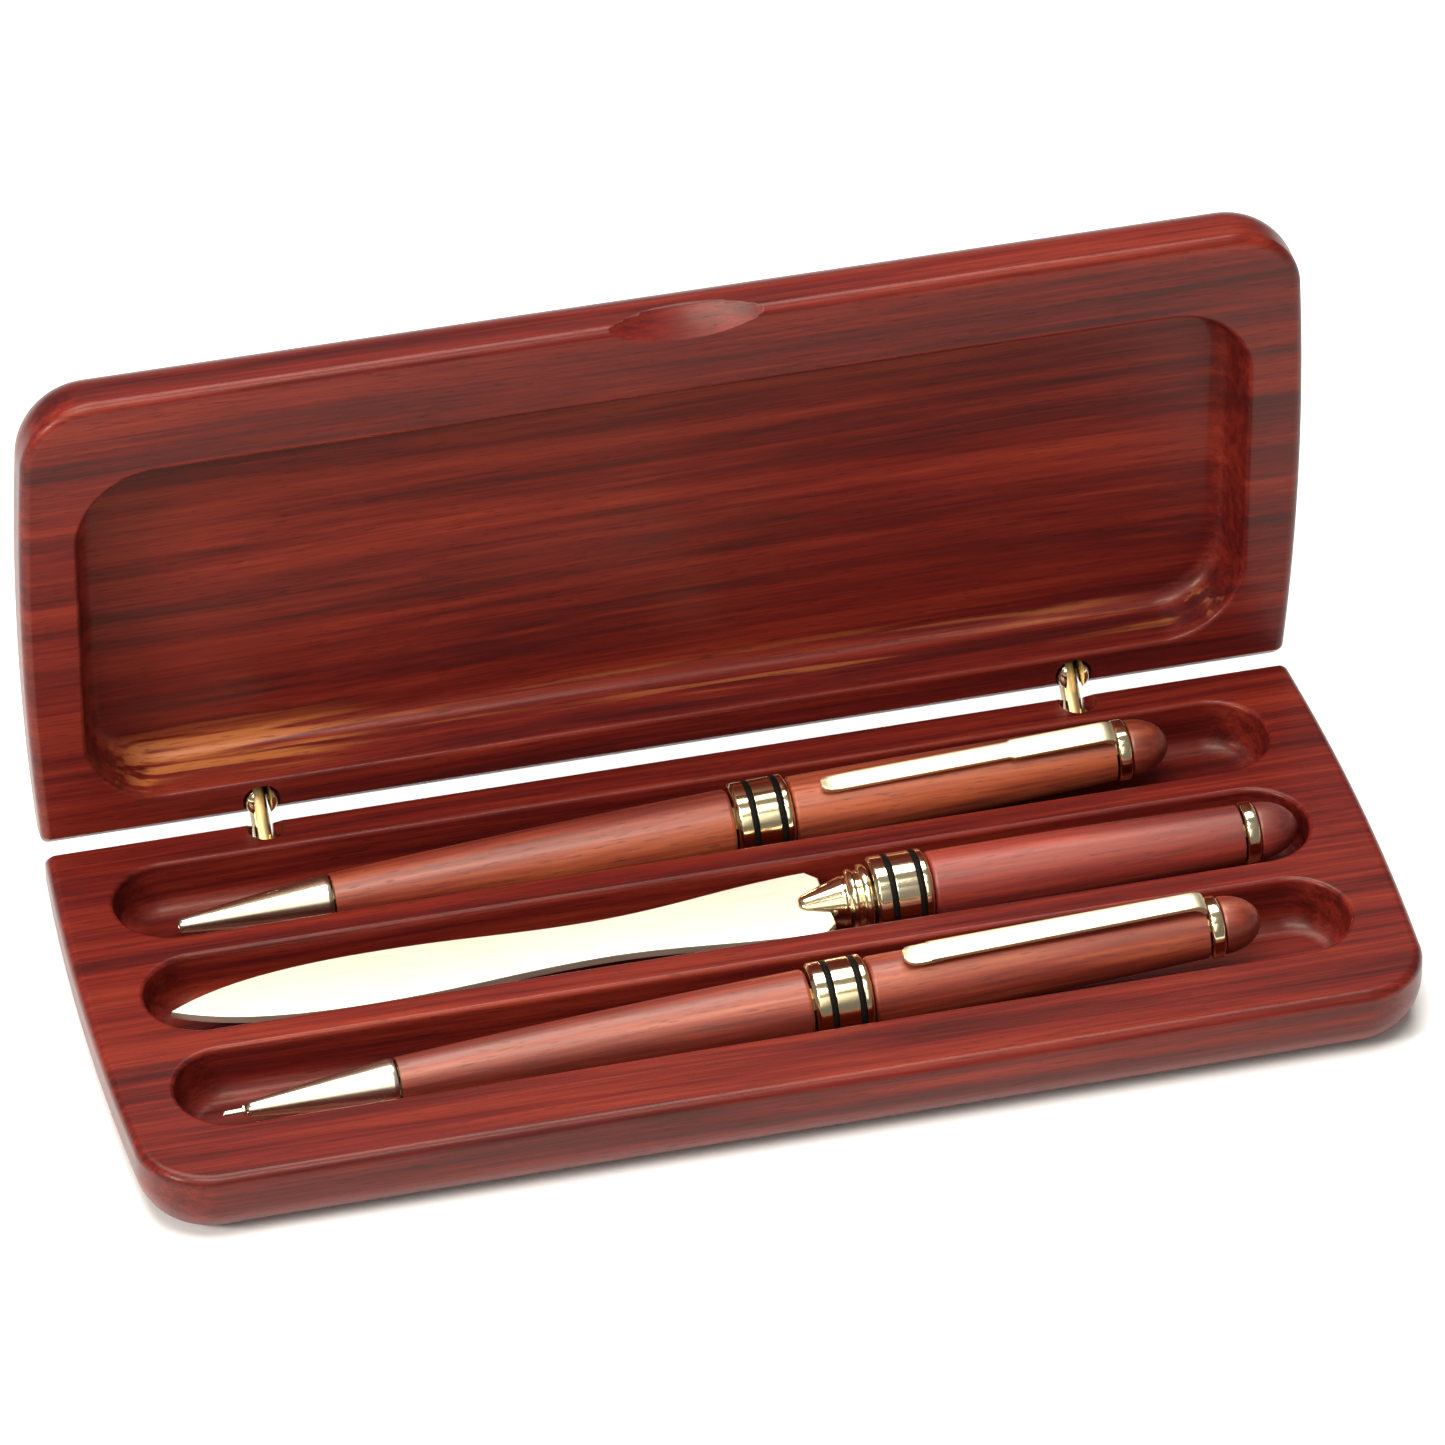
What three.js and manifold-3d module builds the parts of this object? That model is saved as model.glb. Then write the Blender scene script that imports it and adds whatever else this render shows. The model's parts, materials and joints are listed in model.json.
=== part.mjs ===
// Hinged wooden desk-set case, open, holding a twist ballpoint pen, a letter opener and a twist pencil.
// Millimetres. +X runs along the case, -Y is the opening front, +Y the hinge side, +Z is up.
// The origin is the centre of the base's flat underside.
import * as THREE from 'three';
import { mergeVertices } from 'three/addons/utils/BufferGeometryUtils.js';
import Module from 'manifold-3d';

const wasm = await Module();
wasm.setup();

// ---------- case: driving dimensions ----------
const shell = {
  halfLengthAtHinge: 85.6,  // half the length along the hinge side
  endBulge: 1.5,            // how far each end bows out at mid depth
  depth: 72,                // front to hinge side
  height: 11.6,             // thickness of the base, and of the lid
  frontCorner: 10,          // plan radius of the two front corners
  rearCorner: 1.2,          // plan radius of the two hinge-side corners
  outerRound: 7.8,          // bull-nose round of the front and the ends
  rearRound: 3,             // round of the hinge side's outer edge
  faceEdge: 0.7,            // small round along the parting face
  rearBevel: 2,             // bevel along the parting face's hinge side, which lets the lid swing back
};
const partingGap = 0.3;     // between the closed base and lid
const rearY = shell.depth / 2;
const frontY = -shell.depth / 2;

const slots = {
  halfLength: 79,
  radius: 7.5,
  depth: 7.5,
  floorFillet: 3,
  rimEdge: 0.6,
  middleY: 1.8,
  pitch: 19.5,
};
const recess = {
  halfLength: 79.3,
  hingeMargin: 6.5,         // wood left on the hinge side
  frontMargin: 11.7,        // wood left on the front side
  corner: 11,
  depth: 7.6,
  floorFillet: 2.6,
  wallDraft: 0.8,
  rimEdge: 0.6,
};
const thumbScoop = { x: 2.5, rimRadius: 24.2, bite: 2.4, drop: 15 };

// ---------- hinges ----------
const hinge = {
  x: 56,                    // the two hinges stand at plus and minus this
  inset: 3,                 // barrel axis in from the hinge side
  pivotDepth: 5.6,          // pivot below the parting face
  barrelRadius: 2.25,
  barrelBottom: 9.4,        // how deep the barrel reaches
  holeRadius: 2.55,
  holeDepth: 9.8,
  slotWidth: 2.4,           // fork slot in which the link swings
  slotDepth: 7.6,
  linkThickness: 1.8,
  linkWidth: 2.6,
  pinRadius: 0.55,
  pinHole: 0.85,
  pinLength: 3.6,
  notchWidth: 2.9,          // cut in the wood behind the link
  notchDepth: 4.9,
  openAngle: 90,            // degrees between the base and the lid at rest
};
const pivotY = rearY - hinge.inset;
const basePivotZ = shell.height - hinge.pivotDepth;
const linkLength = 2 * hinge.pivotDepth + partingGap;
const halfOpening = THREE.MathUtils.degToRad(hinge.openAngle / 2);

// ---------- writing instruments and letter opener ----------
const fit = 0.3;            // running gap between neighbouring pieces
const band = { length: 7.7, radius: 5.3, grooves: [1.9, 5.7], grooveWidth: 0.95, grooveDepth: 0.45 };
const tube = { bore: 2.8, outer: 2.5, inner: 2.15 };
const pen = {
  name: 'pen', tipX: -70.5, row: 1, clipTurn: 22,
  noseEnd: 20.6, noseTip: 0.95, nozzle: 0, bandStart: 75.5, clipStart: 87.4, ringStart: 128.2, end: 135.7,
  clip: { rootWidth: 2.9, freeWidth: 2.4, step: 114 },
};
const pencil = {
  name: 'pencil', tipX: -72.7, row: -1, clipTurn: 9,
  noseEnd: 22.9, noseTip: 0.95, nozzle: 3.1, bandStart: 78.4, clipStart: 91, ringStart: 132.2, end: 139.6,
  clip: { rootWidth: 2.7, freeWidth: 3.4, step: 95 },
};
const opener = {
  tipX: -75.5, shoulder: 88.5, noseStart: 84.5, noseEnd: 91.4, bandStart: 94.4, ringStart: 145.4, end: 153.1,
  bladeThickness: 1.3, tangHalfWidth: 1.5, tangEnd: 112, tilt: 0.8,
};

const colours = {
  rosewood: { color: 0x7a2220, roughness: 0.32, metalness: 0 },
  orangeRosewood: { color: 0x9a3f22, roughness: 0.3, metalness: 0 },
  gold: { color: 0xe8c987, roughness: 0.16, metalness: 1 },
  brass: { color: 0xb08d4a, roughness: 0.35, metalness: 1 },
  blackEnamel: { color: 0x0f0d0b, roughness: 0.25, metalness: 0 },
  steel: { color: 0x9a9a98, roughness: 0.3, metalness: 1 },
  graphite: { color: 0x2c2c2e, roughness: 0.6, metalness: 0.2 },
};

const model = new THREE.Group();

// ---------- geometry helpers ----------

// Joins shared corners, drops triangles without area and turns the faces outwards.
function weld(geometry) {
  const bare = geometry.index ? geometry.clone() : geometry;
  bare.deleteAttribute('normal');
  bare.deleteAttribute('uv');
  const merged = mergeVertices(bare, 1e-5);
  const at = merged.getAttribute('position');
  const corner = [0, 1, 2].map(() => new THREE.Vector3());
  let triangles = [];
  let volume = 0;
  for (let i = 0; i < merged.index.count; i += 3) {
    const tri = [0, 1, 2].map((k) => merged.index.getX(i + k));
    if (tri[0] === tri[1] || tri[1] === tri[2] || tri[2] === tri[0]) continue;
    tri.forEach((v, k) => corner[k].fromBufferAttribute(at, v));
    volume += corner[0].dot(corner[1].clone().cross(corner[2]));
    triangles.push(tri);
  }
  if (volume < 0) triangles = triangles.map(([a, b, c]) => [a, c, b]);
  merged.setIndex(triangles.flat());
  return merged;
}

function solid(geometry) {
  const welded = weld(geometry);
  return new wasm.Manifold(new wasm.Mesh({
    numProp: 3,
    vertProperties: new Float32Array(welded.getAttribute('position').array),
    triVerts: new Uint32Array(welded.index.array),
  }));
}

function geometryOf(manifold) {
  const mesh = manifold.getMesh();
  const geometry = new THREE.BufferGeometry();
  geometry.setAttribute('position', new THREE.BufferAttribute(new Float32Array(mesh.vertProperties), 3));
  geometry.setIndex(new THREE.BufferAttribute(new Uint32Array(mesh.triVerts), 1));
  return geometry;
}

function addMesh(parent, name, geometry, finish) {
  const smooth = geometry.clone();
  smooth.computeVertexNormals();
  const mesh = new THREE.Mesh(smooth, new THREE.MeshStandardMaterial(colours[finish]));
  mesh.name = name;
  parent.add(mesh);
  return mesh;
}

// Turns a profile of [along, radius] points about the X axis. It starts and ends on the axis.
function turned(profile, segments = 16) {
  const points = profile.map(([along, radius]) => new THREE.Vector2(radius, along));
  return weld(new THREE.LatheGeometry(points, segments).rotateZ(-Math.PI / 2));
}

// The same for a ring or a tube: the outer profile, then the bore walked back.
function turnedTube(outer, bore, segments = 16) {
  return turned([...outer, ...bore, outer[0]], segments);
}

// A stack of closed outlines, each a list of [x, y] at a height, skinned and capped at both ends.
function loft(levels) {
  const count = levels[0].outline.length;
  const positions = levels.flatMap(({ z, outline }) => outline.flatMap(([x, y]) => [x, y, z]));
  const indices = [];
  for (let level = 0; level + 1 < levels.length; level += 1) {
    for (let i = 0; i < count; i += 1) {
      const a = level * count + i;
      const b = level * count + ((i + 1) % count);
      indices.push(a, b, b + count, a, b + count, a + count);
    }
  }
  const capOf = (outline) => THREE.ShapeUtils.triangulateShape(outline.map(([x, y]) => new THREE.Vector2(x, y)), []);
  const top = (levels.length - 1) * count;
  capOf(levels[0].outline).forEach(([a, b, c]) => indices.push(a, c, b));
  capOf(levels.at(-1).outline).forEach(([a, b, c]) => indices.push(a + top, b + top, c + top));
  const geometry = new THREE.BufferGeometry();
  geometry.setAttribute('position', new THREE.Float32BufferAttribute(positions, 3));
  geometry.setIndex(indices);
  return weld(geometry);
}

// Points of an arc about [cx, cy], from one angle to another in degrees.
function arc(cx, cy, radius, from, to, steps) {
  return Array.from({ length: steps + 1 }, (_, i) => {
    const angle = THREE.MathUtils.degToRad(from + ((to - from) * i) / steps);
    return [cx + radius * Math.cos(angle), cy + radius * Math.sin(angle)];
  });
}

// ---------- case shell ----------

// Half length of the case at a given y: the ends bow outwards in a shallow curve.
function halfLengthAt(y) {
  const t = y / rearY;
  return shell.halfLengthAtHinge + shell.endBulge * (1 - t * t);
}

// Plan outline, drawn in by `inset` on the front and ends and by `rearInset` on the hinge side.
function shellOutline(inset, rearInset) {
  const rearCorner = Math.max(shell.rearCorner - Math.min(inset, rearInset), 0.2);
  const frontCorner = shell.frontCorner - inset;
  const rear = rearY - rearInset - rearCorner;
  const front = frontY + shell.frontCorner;
  const rearX = halfLengthAt(rear) - inset - rearCorner;
  const frontX = halfLengthAt(front) - inset - frontCorner;
  const endSteps = 6;
  const end = Array.from({ length: endSteps - 1 }, (_, i) => {
    const y = rear + ((front - rear) * (i + 1)) / endSteps;
    return [halfLengthAt(y) - inset, y];
  });
  const right = [
    ...arc(rearX, rear, rearCorner, 90, 0, 2),
    ...end,
    ...arc(frontX, front, frontCorner, 0, -90, 7),
  ];
  const left = right.map(([x, y]) => [-x, y]).reverse();
  return [...right, ...left].reverse();
}

// One half of the case, its outer face down at z = 0 and its parting face up.
function halfShell() {
  const levels = [];
  const roundSteps = 6;
  for (let i = 0; i <= roundSteps; i += 1) {
    const angle = (Math.PI / 2) * (i / roundSteps);
    levels.push({
      z: shell.outerRound * (1 - Math.cos(angle)),
      outline: shellOutline(shell.outerRound * (1 - Math.sin(angle)), shell.rearRound * (1 - Math.sin(angle))),
    });
  }
  levels.push({ z: shell.height - shell.rearBevel, outline: shellOutline(0, 0) });
  levels.push({
    z: shell.height - shell.faceEdge,
    outline: shellOutline(0, shell.rearBevel - shell.faceEdge),
  });
  levels.push({ z: shell.height, outline: shellOutline(shell.faceEdge, shell.rearBevel) });
  return solid(loft(levels));
}

// Cuts downwards from the parting face: straight wall, filleted floor and a small rim chamfer.
function pocket(outlineAt, depth, fillet, draft, rimEdge) {
  const top = shell.height;
  const floor = top - depth;
  const filletSteps = 3;
  const levels = [];
  for (let i = 0; i <= filletSteps; i += 1) {
    const angle = (Math.PI / 2) * (i / filletSteps);
    levels.push({
      z: floor + fillet * (1 - Math.cos(angle)),
      outline: outlineAt(-draft - fillet * (1 - Math.sin(angle))),
    });
  }
  levels.push({ z: top - rimEdge, outline: outlineAt(0) });
  levels.push({ z: top, outline: outlineAt(rimEdge) });
  levels.push({ z: top + 1, outline: outlineAt(rimEdge) });
  return solid(loft(levels));
}

function slotOutline(y, grow) {
  const centre = slots.halfLength - slots.radius;
  const radius = slots.radius + grow;
  return [...arc(centre, y, radius, -90, 90, 10), ...arc(-centre, y, radius, 90, 270, 10)];
}

function recessOutline(grow) {
  const radius = recess.corner + grow;
  const x = recess.halfLength - recess.corner;
  const rear = rearY - recess.hingeMargin - recess.corner;
  const front = frontY + recess.frontMargin + recess.corner;
  return [
    ...arc(x, front, radius, -90, 0, 6),
    ...arc(x, rear, radius, 0, 90, 6),
    ...arc(-x, rear, radius, 90, 180, 6),
    ...arc(-x, front, radius, 180, 270, 6),
  ];
}

// The hole for one hinge barrel, with the notch that the link swings through.
function hingeHole(x) {
  const depth = hinge.holeDepth + 1;
  const hole = new THREE.CylinderGeometry(hinge.holeRadius, hinge.holeRadius, depth, 16)
    .rotateX(Math.PI / 2)
    .translate(x, pivotY, shell.height - hinge.holeDepth + depth / 2);
  const notch = new THREE.BoxGeometry(hinge.notchWidth, hinge.inset + 1, hinge.notchDepth + 1)
    .translate(x, pivotY + (hinge.inset + 1) / 2, shell.height - hinge.notchDepth + (hinge.notchDepth + 1) / 2);
  return solid(hole).add(solid(notch));
}

function cutHinges(body) {
  return [-1, 1].reduce((left, side) => left.subtract(hingeHole(side * hinge.x)), body);
}

function baseGeometry() {
  let body = cutHinges(halfShell());
  [-1, 0, 1].forEach((row) => {
    const y = slots.middleY + row * slots.pitch;
    body = body.subtract(pocket((grow) => slotOutline(y, grow), slots.depth, slots.floorFillet, 0, slots.rimEdge));
  });
  return geometryOf(body);
}

// The lid is modelled with its parting face up, and is turned over where it is placed.
function lidGeometry() {
  const scoopRadius = Math.hypot(thumbScoop.rimRadius, thumbScoop.drop);
  const faceFront = frontY + shell.faceEdge;
  const scoop = new THREE.SphereGeometry(scoopRadius, 72, 48)
    .translate(-thumbScoop.x, faceFront + thumbScoop.bite - thumbScoop.rimRadius, shell.height + thumbScoop.drop);
  const cut = pocket(recessOutline, recess.depth, recess.floorFillet, recess.wallDraft, recess.rimEdge);
  return geometryOf(cutHinges(halfShell()).subtract(cut).subtract(solid(scoop)));
}

// ---------- hinge pieces ----------

// A barrel stands on z with its pivot at the origin and its open fork end upwards.
function barrelGeometry() {
  const bottom = -(hinge.barrelBottom - hinge.pivotDepth);
  const top = hinge.pivotDepth;
  const crown = 0.7;
  const body = turned([
    [bottom, 0],
    [bottom, hinge.barrelRadius - 0.4],
    [bottom + 0.4, hinge.barrelRadius],
    [top - crown, hinge.barrelRadius],
    [top - 0.25, hinge.barrelRadius - 0.35],
    [top, hinge.barrelRadius - 1],
    [top, 0],
  ]).rotateY(-Math.PI / 2);
  const slotBottom = top - hinge.slotDepth;
  const slotHeight = hinge.slotDepth + 1;
  const fork = new THREE.BoxGeometry(hinge.slotWidth, 6, slotHeight).translate(0, 0, slotBottom + slotHeight / 2);
  const pinHole = new THREE.CylinderGeometry(hinge.pinHole, hinge.pinHole, 6, 12).rotateZ(Math.PI / 2);
  return geometryOf(solid(body).subtract(solid(fork)).subtract(solid(pinHole)));
}

// A flat link from its base pivot at the origin up to its lid pivot.
function linkGeometry() {
  const radius = hinge.linkWidth / 2;
  const outline = new THREE.Shape();
  outline.absarc(0, 0, radius, Math.PI, 2 * Math.PI, false);
  outline.absarc(0, linkLength, radius, 0, Math.PI, false);
  [0, linkLength].forEach((y) => {
    const hole = new THREE.Path();
    hole.absarc(0, y, hinge.pinHole, 0, 2 * Math.PI, true);
    outline.holes.push(hole);
  });
  return weld(new THREE.ExtrudeGeometry(outline, { depth: hinge.linkThickness, bevelEnabled: false, curveSegments: 8 })
    .translate(0, 0, -hinge.linkThickness / 2)
    .rotateX(Math.PI / 2)
    .rotateZ(Math.PI / 2));
}

function pinGeometry() {
  return weld(new THREE.CylinderGeometry(hinge.pinRadius, hinge.pinRadius, hinge.pinLength, 10).rotateZ(Math.PI / 2));
}

// ---------- case assembly ----------

// Hinge links turn about the base pivots, and the lid turns about the links' upper pivots.
const linksGroup = new THREE.Group();
linksGroup.position.set(0, pivotY, basePivotZ);
linksGroup.rotation.x = -halfOpening;
model.add(linksGroup);

const lidGroup = new THREE.Group();
lidGroup.position.set(0, 0, linkLength);
lidGroup.rotation.x = -halfOpening;
linksGroup.add(lidGroup);

addMesh(model, 'case_base', baseGeometry(), 'rosewood');
const lid = addMesh(lidGroup, 'case_lid', lidGeometry(), 'rosewood');
lid.rotation.y = Math.PI;
lid.position.set(0, -pivotY, basePivotZ);

[['left', -hinge.x], ['right', hinge.x]].forEach(([side, x]) => {
  addMesh(model, `hinge_${side}_base_barrel`, barrelGeometry(), 'gold').position.set(x, pivotY, basePivotZ);
  addMesh(model, `hinge_${side}_base_pin`, pinGeometry(), 'brass').position.set(x, pivotY, basePivotZ);
  addMesh(linksGroup, `hinge_${side}_link`, linkGeometry(), 'brass').position.set(x, 0, 0);
  const lidBarrel = addMesh(lidGroup, `hinge_${side}_lid_barrel`, barrelGeometry(), 'gold');
  lidBarrel.position.set(x, 0, 0);
  lidBarrel.rotation.y = Math.PI;
  addMesh(lidGroup, `hinge_${side}_lid_pin`, pinGeometry(), 'brass').position.set(x, 0, 0);
});

// ---------- shared pieces of the pen, the pencil and the opener ----------
// Each is turned about its own X axis, measured from the tip.

// A gold sleeve with two grooves, which the black enamel rings fill.
function bandProfile(start) {
  const end = start + band.length;
  const floor = band.radius - band.grooveDepth;
  const profile = [[start, band.radius - 0.35], [start + 0.35, band.radius]];
  band.grooves.forEach((offset) => {
    const from = start + offset;
    const to = from + band.grooveWidth;
    profile.push([from, band.radius], [from, floor], [to, floor], [to, band.radius]);
  });
  profile.push([end - 0.35, band.radius], [end, band.radius - 0.35]);
  return profile;
}

function addBand(parent, name, start) {
  const bore = tube.outer + fit;
  const end = start + band.length;
  addMesh(parent, `${name}_centre_band`, turnedTube(bandProfile(start), [[end, bore], [start, bore]]), 'gold');
  ['front', 'rear'].forEach((place, i) => {
    const middle = start + band.grooves[i] + band.grooveWidth / 2;
    const half = 0.3;
    const outer = [[middle - half, band.radius - 0.02], [middle + half, band.radius - 0.02]];
    const inside = band.radius - band.grooveDepth + 0.15;
    const ring = turnedTube(outer, [[middle + half, inside], [middle - half, inside]]);
    addMesh(parent, `${name}_band_ring_${place}`, ring, 'blackEnamel');
  });
}

function addTube(parent, name, from, to) {
  const outer = [[from, tube.outer], [to, tube.outer]];
  const bore = [[to, tube.inner], [from, tube.inner]];
  addMesh(parent, name, turnedTube(outer, bore, 10), 'brass');
}

// Gold ring, brass plug and wooden dome that close the far end.
function addCap(parent, name, ringStart, end, plugFrom, domeFinish) {
  const ringEnd = ringStart + 1.8;
  const ringRadius = 4.15;
  const stud = 1.4;
  const ring = [[ringStart, ringRadius - 0.2], [ringStart + 0.3, ringRadius], [ringEnd - 0.3, ringRadius],
    [ringEnd, ringRadius - 0.2]];
  addMesh(parent, `${name}_cap_ring`, turnedTube(ring, [[ringEnd, stud + fit], [ringStart, stud + fit]]), 'gold');
  const domeStart = ringEnd + 0.2;
  const domeRadius = 3.8;
  const domeSteps = 5;
  const profile = [[domeStart, stud + fit], [domeStart, domeRadius]];
  for (let i = 1; i <= domeSteps; i += 1) {
    const angle = (Math.PI / 2) * (i / domeSteps);
    profile.push([domeStart + (end - domeStart) * Math.sin(angle), domeRadius * Math.cos(angle)]);
  }
  profile[profile.length - 1][1] = 0;
  const boreEnd = domeStart + 3;
  addMesh(parent, `${name}_cap_dome`, turned([...profile, [boreEnd, 0], [boreEnd, stud + fit], profile[0]]), domeFinish);
  const plugRadius = tube.inner - fit;
  const plug = [[plugFrom, 0], [plugFrom, plugRadius], [ringStart - 0.6, plugRadius], [ringStart - 0.6, stud],
    [boreEnd - fit, stud], [boreEnd - fit, 0]];
  addMesh(parent, `${name}_cap_plug`, turned(plug, 10), 'brass');
}

// ---------- pen and pencil ----------

// Wooden barrel around a brass tube, following its swelling outline.
function addBarrel(parent, name, outline, finish) {
  const from = outline[0][0];
  const to = outline.at(-1)[0];
  addMesh(parent, name, turnedTube(outline, [[to, tube.bore], [from, tube.bore]], 18), finish);
}

// Spring clip: a strip that leaves the ring, runs along the barrel and ends in a lip.
// It is modelled from its root at the origin towards -X, and z is the distance off the barrel's axis.
function clipGeometry(spec) {
  const length = spec.ringStart - fit - spec.clipStart;
  const step = spec.ringStart - fit - spec.clip.step;
  const side = new THREE.Shape();
  side.moveTo(0, 4.3);
  side.lineTo(0, 5.6);
  side.lineTo(-1.4, 6.3);
  side.lineTo(-length + 4, 6.1);
  side.lineTo(-length + 1.2, 6.0);
  side.lineTo(-length, 6.35);
  side.lineTo(-length, 5.6);
  side.lineTo(-length + 1.2, 5.15);
  side.lineTo(-length + 4, 5.3);
  side.lineTo(-1.8, 5.5);
  side.lineTo(-1.2, 4.3);
  const depth = 5;
  const strip = new THREE.ExtrudeGeometry(side, { depth, bevelEnabled: false }).rotateX(Math.PI / 2)
    .translate(0, depth / 2, 0);
  const plan = new THREE.Shape();
  const root = spec.clip.rootWidth / 2;
  const free = spec.clip.freeWidth / 2;
  plan.moveTo(0.5, -root);
  plan.lineTo(0.5, root);
  plan.lineTo(-step, root);
  plan.lineTo(-step - 0.8, free);
  plan.lineTo(-length + free * 0.6, free);
  plan.lineTo(-length - 0.2, free * 0.5);
  plan.lineTo(-length - 0.2, -free * 0.5);
  plan.lineTo(-length + free * 0.6, -free);
  plan.lineTo(-step - 0.8, -free);
  plan.lineTo(-step, -root);
  const outline = new THREE.ExtrudeGeometry(plan, { depth: 4, bevelEnabled: false }).translate(0, 0, 3.5);
  return geometryOf(solid(strip).intersect(solid(outline)));
}

// How far the axis rises towards the centre band when band and lower barrel both touch the slot's floor.
function restingTilt(lowerOutline, bandStart) {
  const slopes = lowerOutline.slice(0, -2).map(([along, radius]) => (band.radius - radius) / (bandStart - along));
  return Math.atan(Math.min(...slopes));
}

// Lays a piece on its centre band, with the tip lower than the band by the tilt.
function layInSlot(group, spec, row, tilt) {
  const floor = shell.height - slots.depth + fit;
  group.position.set(spec.tipX, slots.middleY + row * slots.pitch, floor + band.radius - Math.tan(tilt) * spec.bandStart);
  group.rotation.y = -tilt;
}

// A nose cone with a stepped bore for what feeds through it.
function noseGeometry(spec) {
  const start = spec.nozzle;
  const end = spec.noseEnd;
  const outer = [[start, spec.noseTip], [start + 0.4, spec.noseTip + 0.1], [end - 0.6, 3.1], [end, 3.1]];
  const bore = [[end, 2.1], [start + 14, 1.9], [start + 9, 1.25], [start + 6, 0.8], [start + 3, 0.55], [start, 0.55]];
  return turnedTube(outer, bore, 16);
}

function barrelOutlines(spec) {
  const lowerStart = spec.noseEnd + fit;
  const lowerEnd = spec.bandStart - fit;
  const upperStart = spec.bandStart + band.length + fit;
  const upperEnd = spec.ringStart - fit;
  const along = (from, to, t) => from + (to - from) * t;
  return {
    lower: [[lowerStart, 3.2], [along(lowerStart, lowerEnd, 0.25), 3.75], [along(lowerStart, lowerEnd, 0.5), 4.2],
      [along(lowerStart, lowerEnd, 0.75), 4.5], [lowerEnd - 0.4, 4.65], [lowerEnd, 4.4]],
    upper: [[upperStart, 4.4], [upperStart + 0.4, 4.7], [along(upperStart, upperEnd, 0.35), 4.6],
      [along(upperStart, upperEnd, 0.7), 4.3], [upperEnd, 3.9]],
  };
}

// Ink refill and its pusher, or lead and its carrier, all turned about the same axis.
function addPenFeed(parent) {
  const refillEnd = 62;
  addMesh(parent, 'pen_refill', turned([[1, 0], [1.1, 0.3], [9.4, 0.35], [9.8, 0.55], [13.2, 0.9], [17, 1.2], [18.6, 1.5],
    [refillEnd, 1.5], [refillEnd, 0]], 12), 'brass');
  addMesh(parent, 'pen_pusher', turned([[refillEnd + fit, 0], [refillEnd + fit, 0.95], [88, 0.95], [88, 0]], 12), 'steel');
}

function addPencilFeed(parent) {
  addMesh(parent, 'pencil_lead', turned([[0.4, 0], [0.4, 0.2], [64, 0.2], [64, 0]], 8), 'graphite');
  addMesh(parent, 'pencil_lead_carrier', turned([[64.3, 0], [64.3, 0.95], [92, 0.95], [92, 0]], 12), 'steel');
}

function addWritingInstrument(spec, addFeed) {
  const group = new THREE.Group();
  const outlines = barrelOutlines(spec);
  layInSlot(group, spec, spec.row, restingTilt(outlines.lower, spec.bandStart));
  model.add(group);
  const { name } = spec;
  const bandEnd = spec.bandStart + band.length;
  const housingFrom = spec.bandStart - 9;

  addMesh(group, `${name}_nose_cone`, noseGeometry(spec), 'gold');
  addBarrel(group, `${name}_lower_barrel`, outlines.lower, 'rosewood');
  addTube(group, `${name}_lower_tube`, spec.noseEnd + fit, bandEnd - fit);
  addBand(group, name, spec.bandStart);
  addBarrel(group, `${name}_upper_barrel`, outlines.upper, 'orangeRosewood');
  addTube(group, `${name}_upper_tube`, bandEnd + fit, spec.ringStart - fit);
  addFeed(group);

  const housingRadius = tube.inner - fit;
  const sleeve = (from, to) => turnedTube([[from, housingRadius], [to, housingRadius]], [[to, 1.25], [from, 1.25]], 10);
  addMesh(group, `${name}_twist_housing`, sleeve(housingFrom, bandEnd + 0.5), 'brass');
  addMesh(group, `${name}_twist_sleeve`, sleeve(bandEnd + 0.8, bandEnd + 12), 'brass');

  addCap(group, name, spec.ringStart, spec.end, spec.ringStart - 10, 'orangeRosewood');
  const clip = addMesh(group, `${name}_clip`, clipGeometry(spec), 'gold');
  clip.position.x = spec.ringStart - fit;
  clip.rotation.x = THREE.MathUtils.degToRad(spec.clipTurn);
  return group;
}

addWritingInstrument(pen, addPenFeed);
const pencilGroup = addWritingInstrument(pencil, addPencilFeed);
const pipeEnd = pencil.nozzle - fit;
const leadPipe = turnedTube(
  [[0, 0.42], [0.3, 0.5], [pipeEnd - 0.3, 0.5], [pipeEnd - 0.3, 0.9], [pipeEnd, 0.9]],
  [[pipeEnd, 0.3], [0, 0.3]],
  12,
);
addMesh(pencilGroup, 'pencil_lead_pipe', leadPipe, 'gold');

// ---------- letter opener ----------

// Blade plan: a pointed belly, a waist and flared shoulders, then the tang inside the handle.
function bladeGeometry() {
  const { shoulder, tangHalfWidth, tangEnd, bladeThickness } = opener;
  const plan = new THREE.Shape();
  plan.moveTo(0, 0);
  plan.bezierCurveTo(6, -3.4, 14, -5.2, 27, -5.2);
  plan.bezierCurveTo(40, -5.2, 46, -3.8, 57, -3.8);
  plan.bezierCurveTo(68, -3.8, 76, -6.2, shoulder - 1.5, -6.4);
  plan.lineTo(shoulder, -4.8);
  plan.lineTo(shoulder, -tangHalfWidth);
  plan.lineTo(tangEnd, -tangHalfWidth);
  plan.lineTo(tangEnd, tangHalfWidth);
  plan.lineTo(shoulder, tangHalfWidth);
  plan.lineTo(shoulder, 4.8);
  plan.lineTo(shoulder - 1.5, 6.4);
  plan.bezierCurveTo(76, 6.2, 68, 3.8, 57, 3.8);
  plan.bezierCurveTo(46, 3.8, 40, 5.2, 27, 5.2);
  plan.bezierCurveTo(14, 5.2, 6, 3.4, 0, 0);
  return weld(new THREE.ExtrudeGeometry(plan, { depth: bladeThickness, bevelEnabled: false, curveSegments: 7 })
    .translate(0, 0, -bladeThickness / 2));
}

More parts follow.
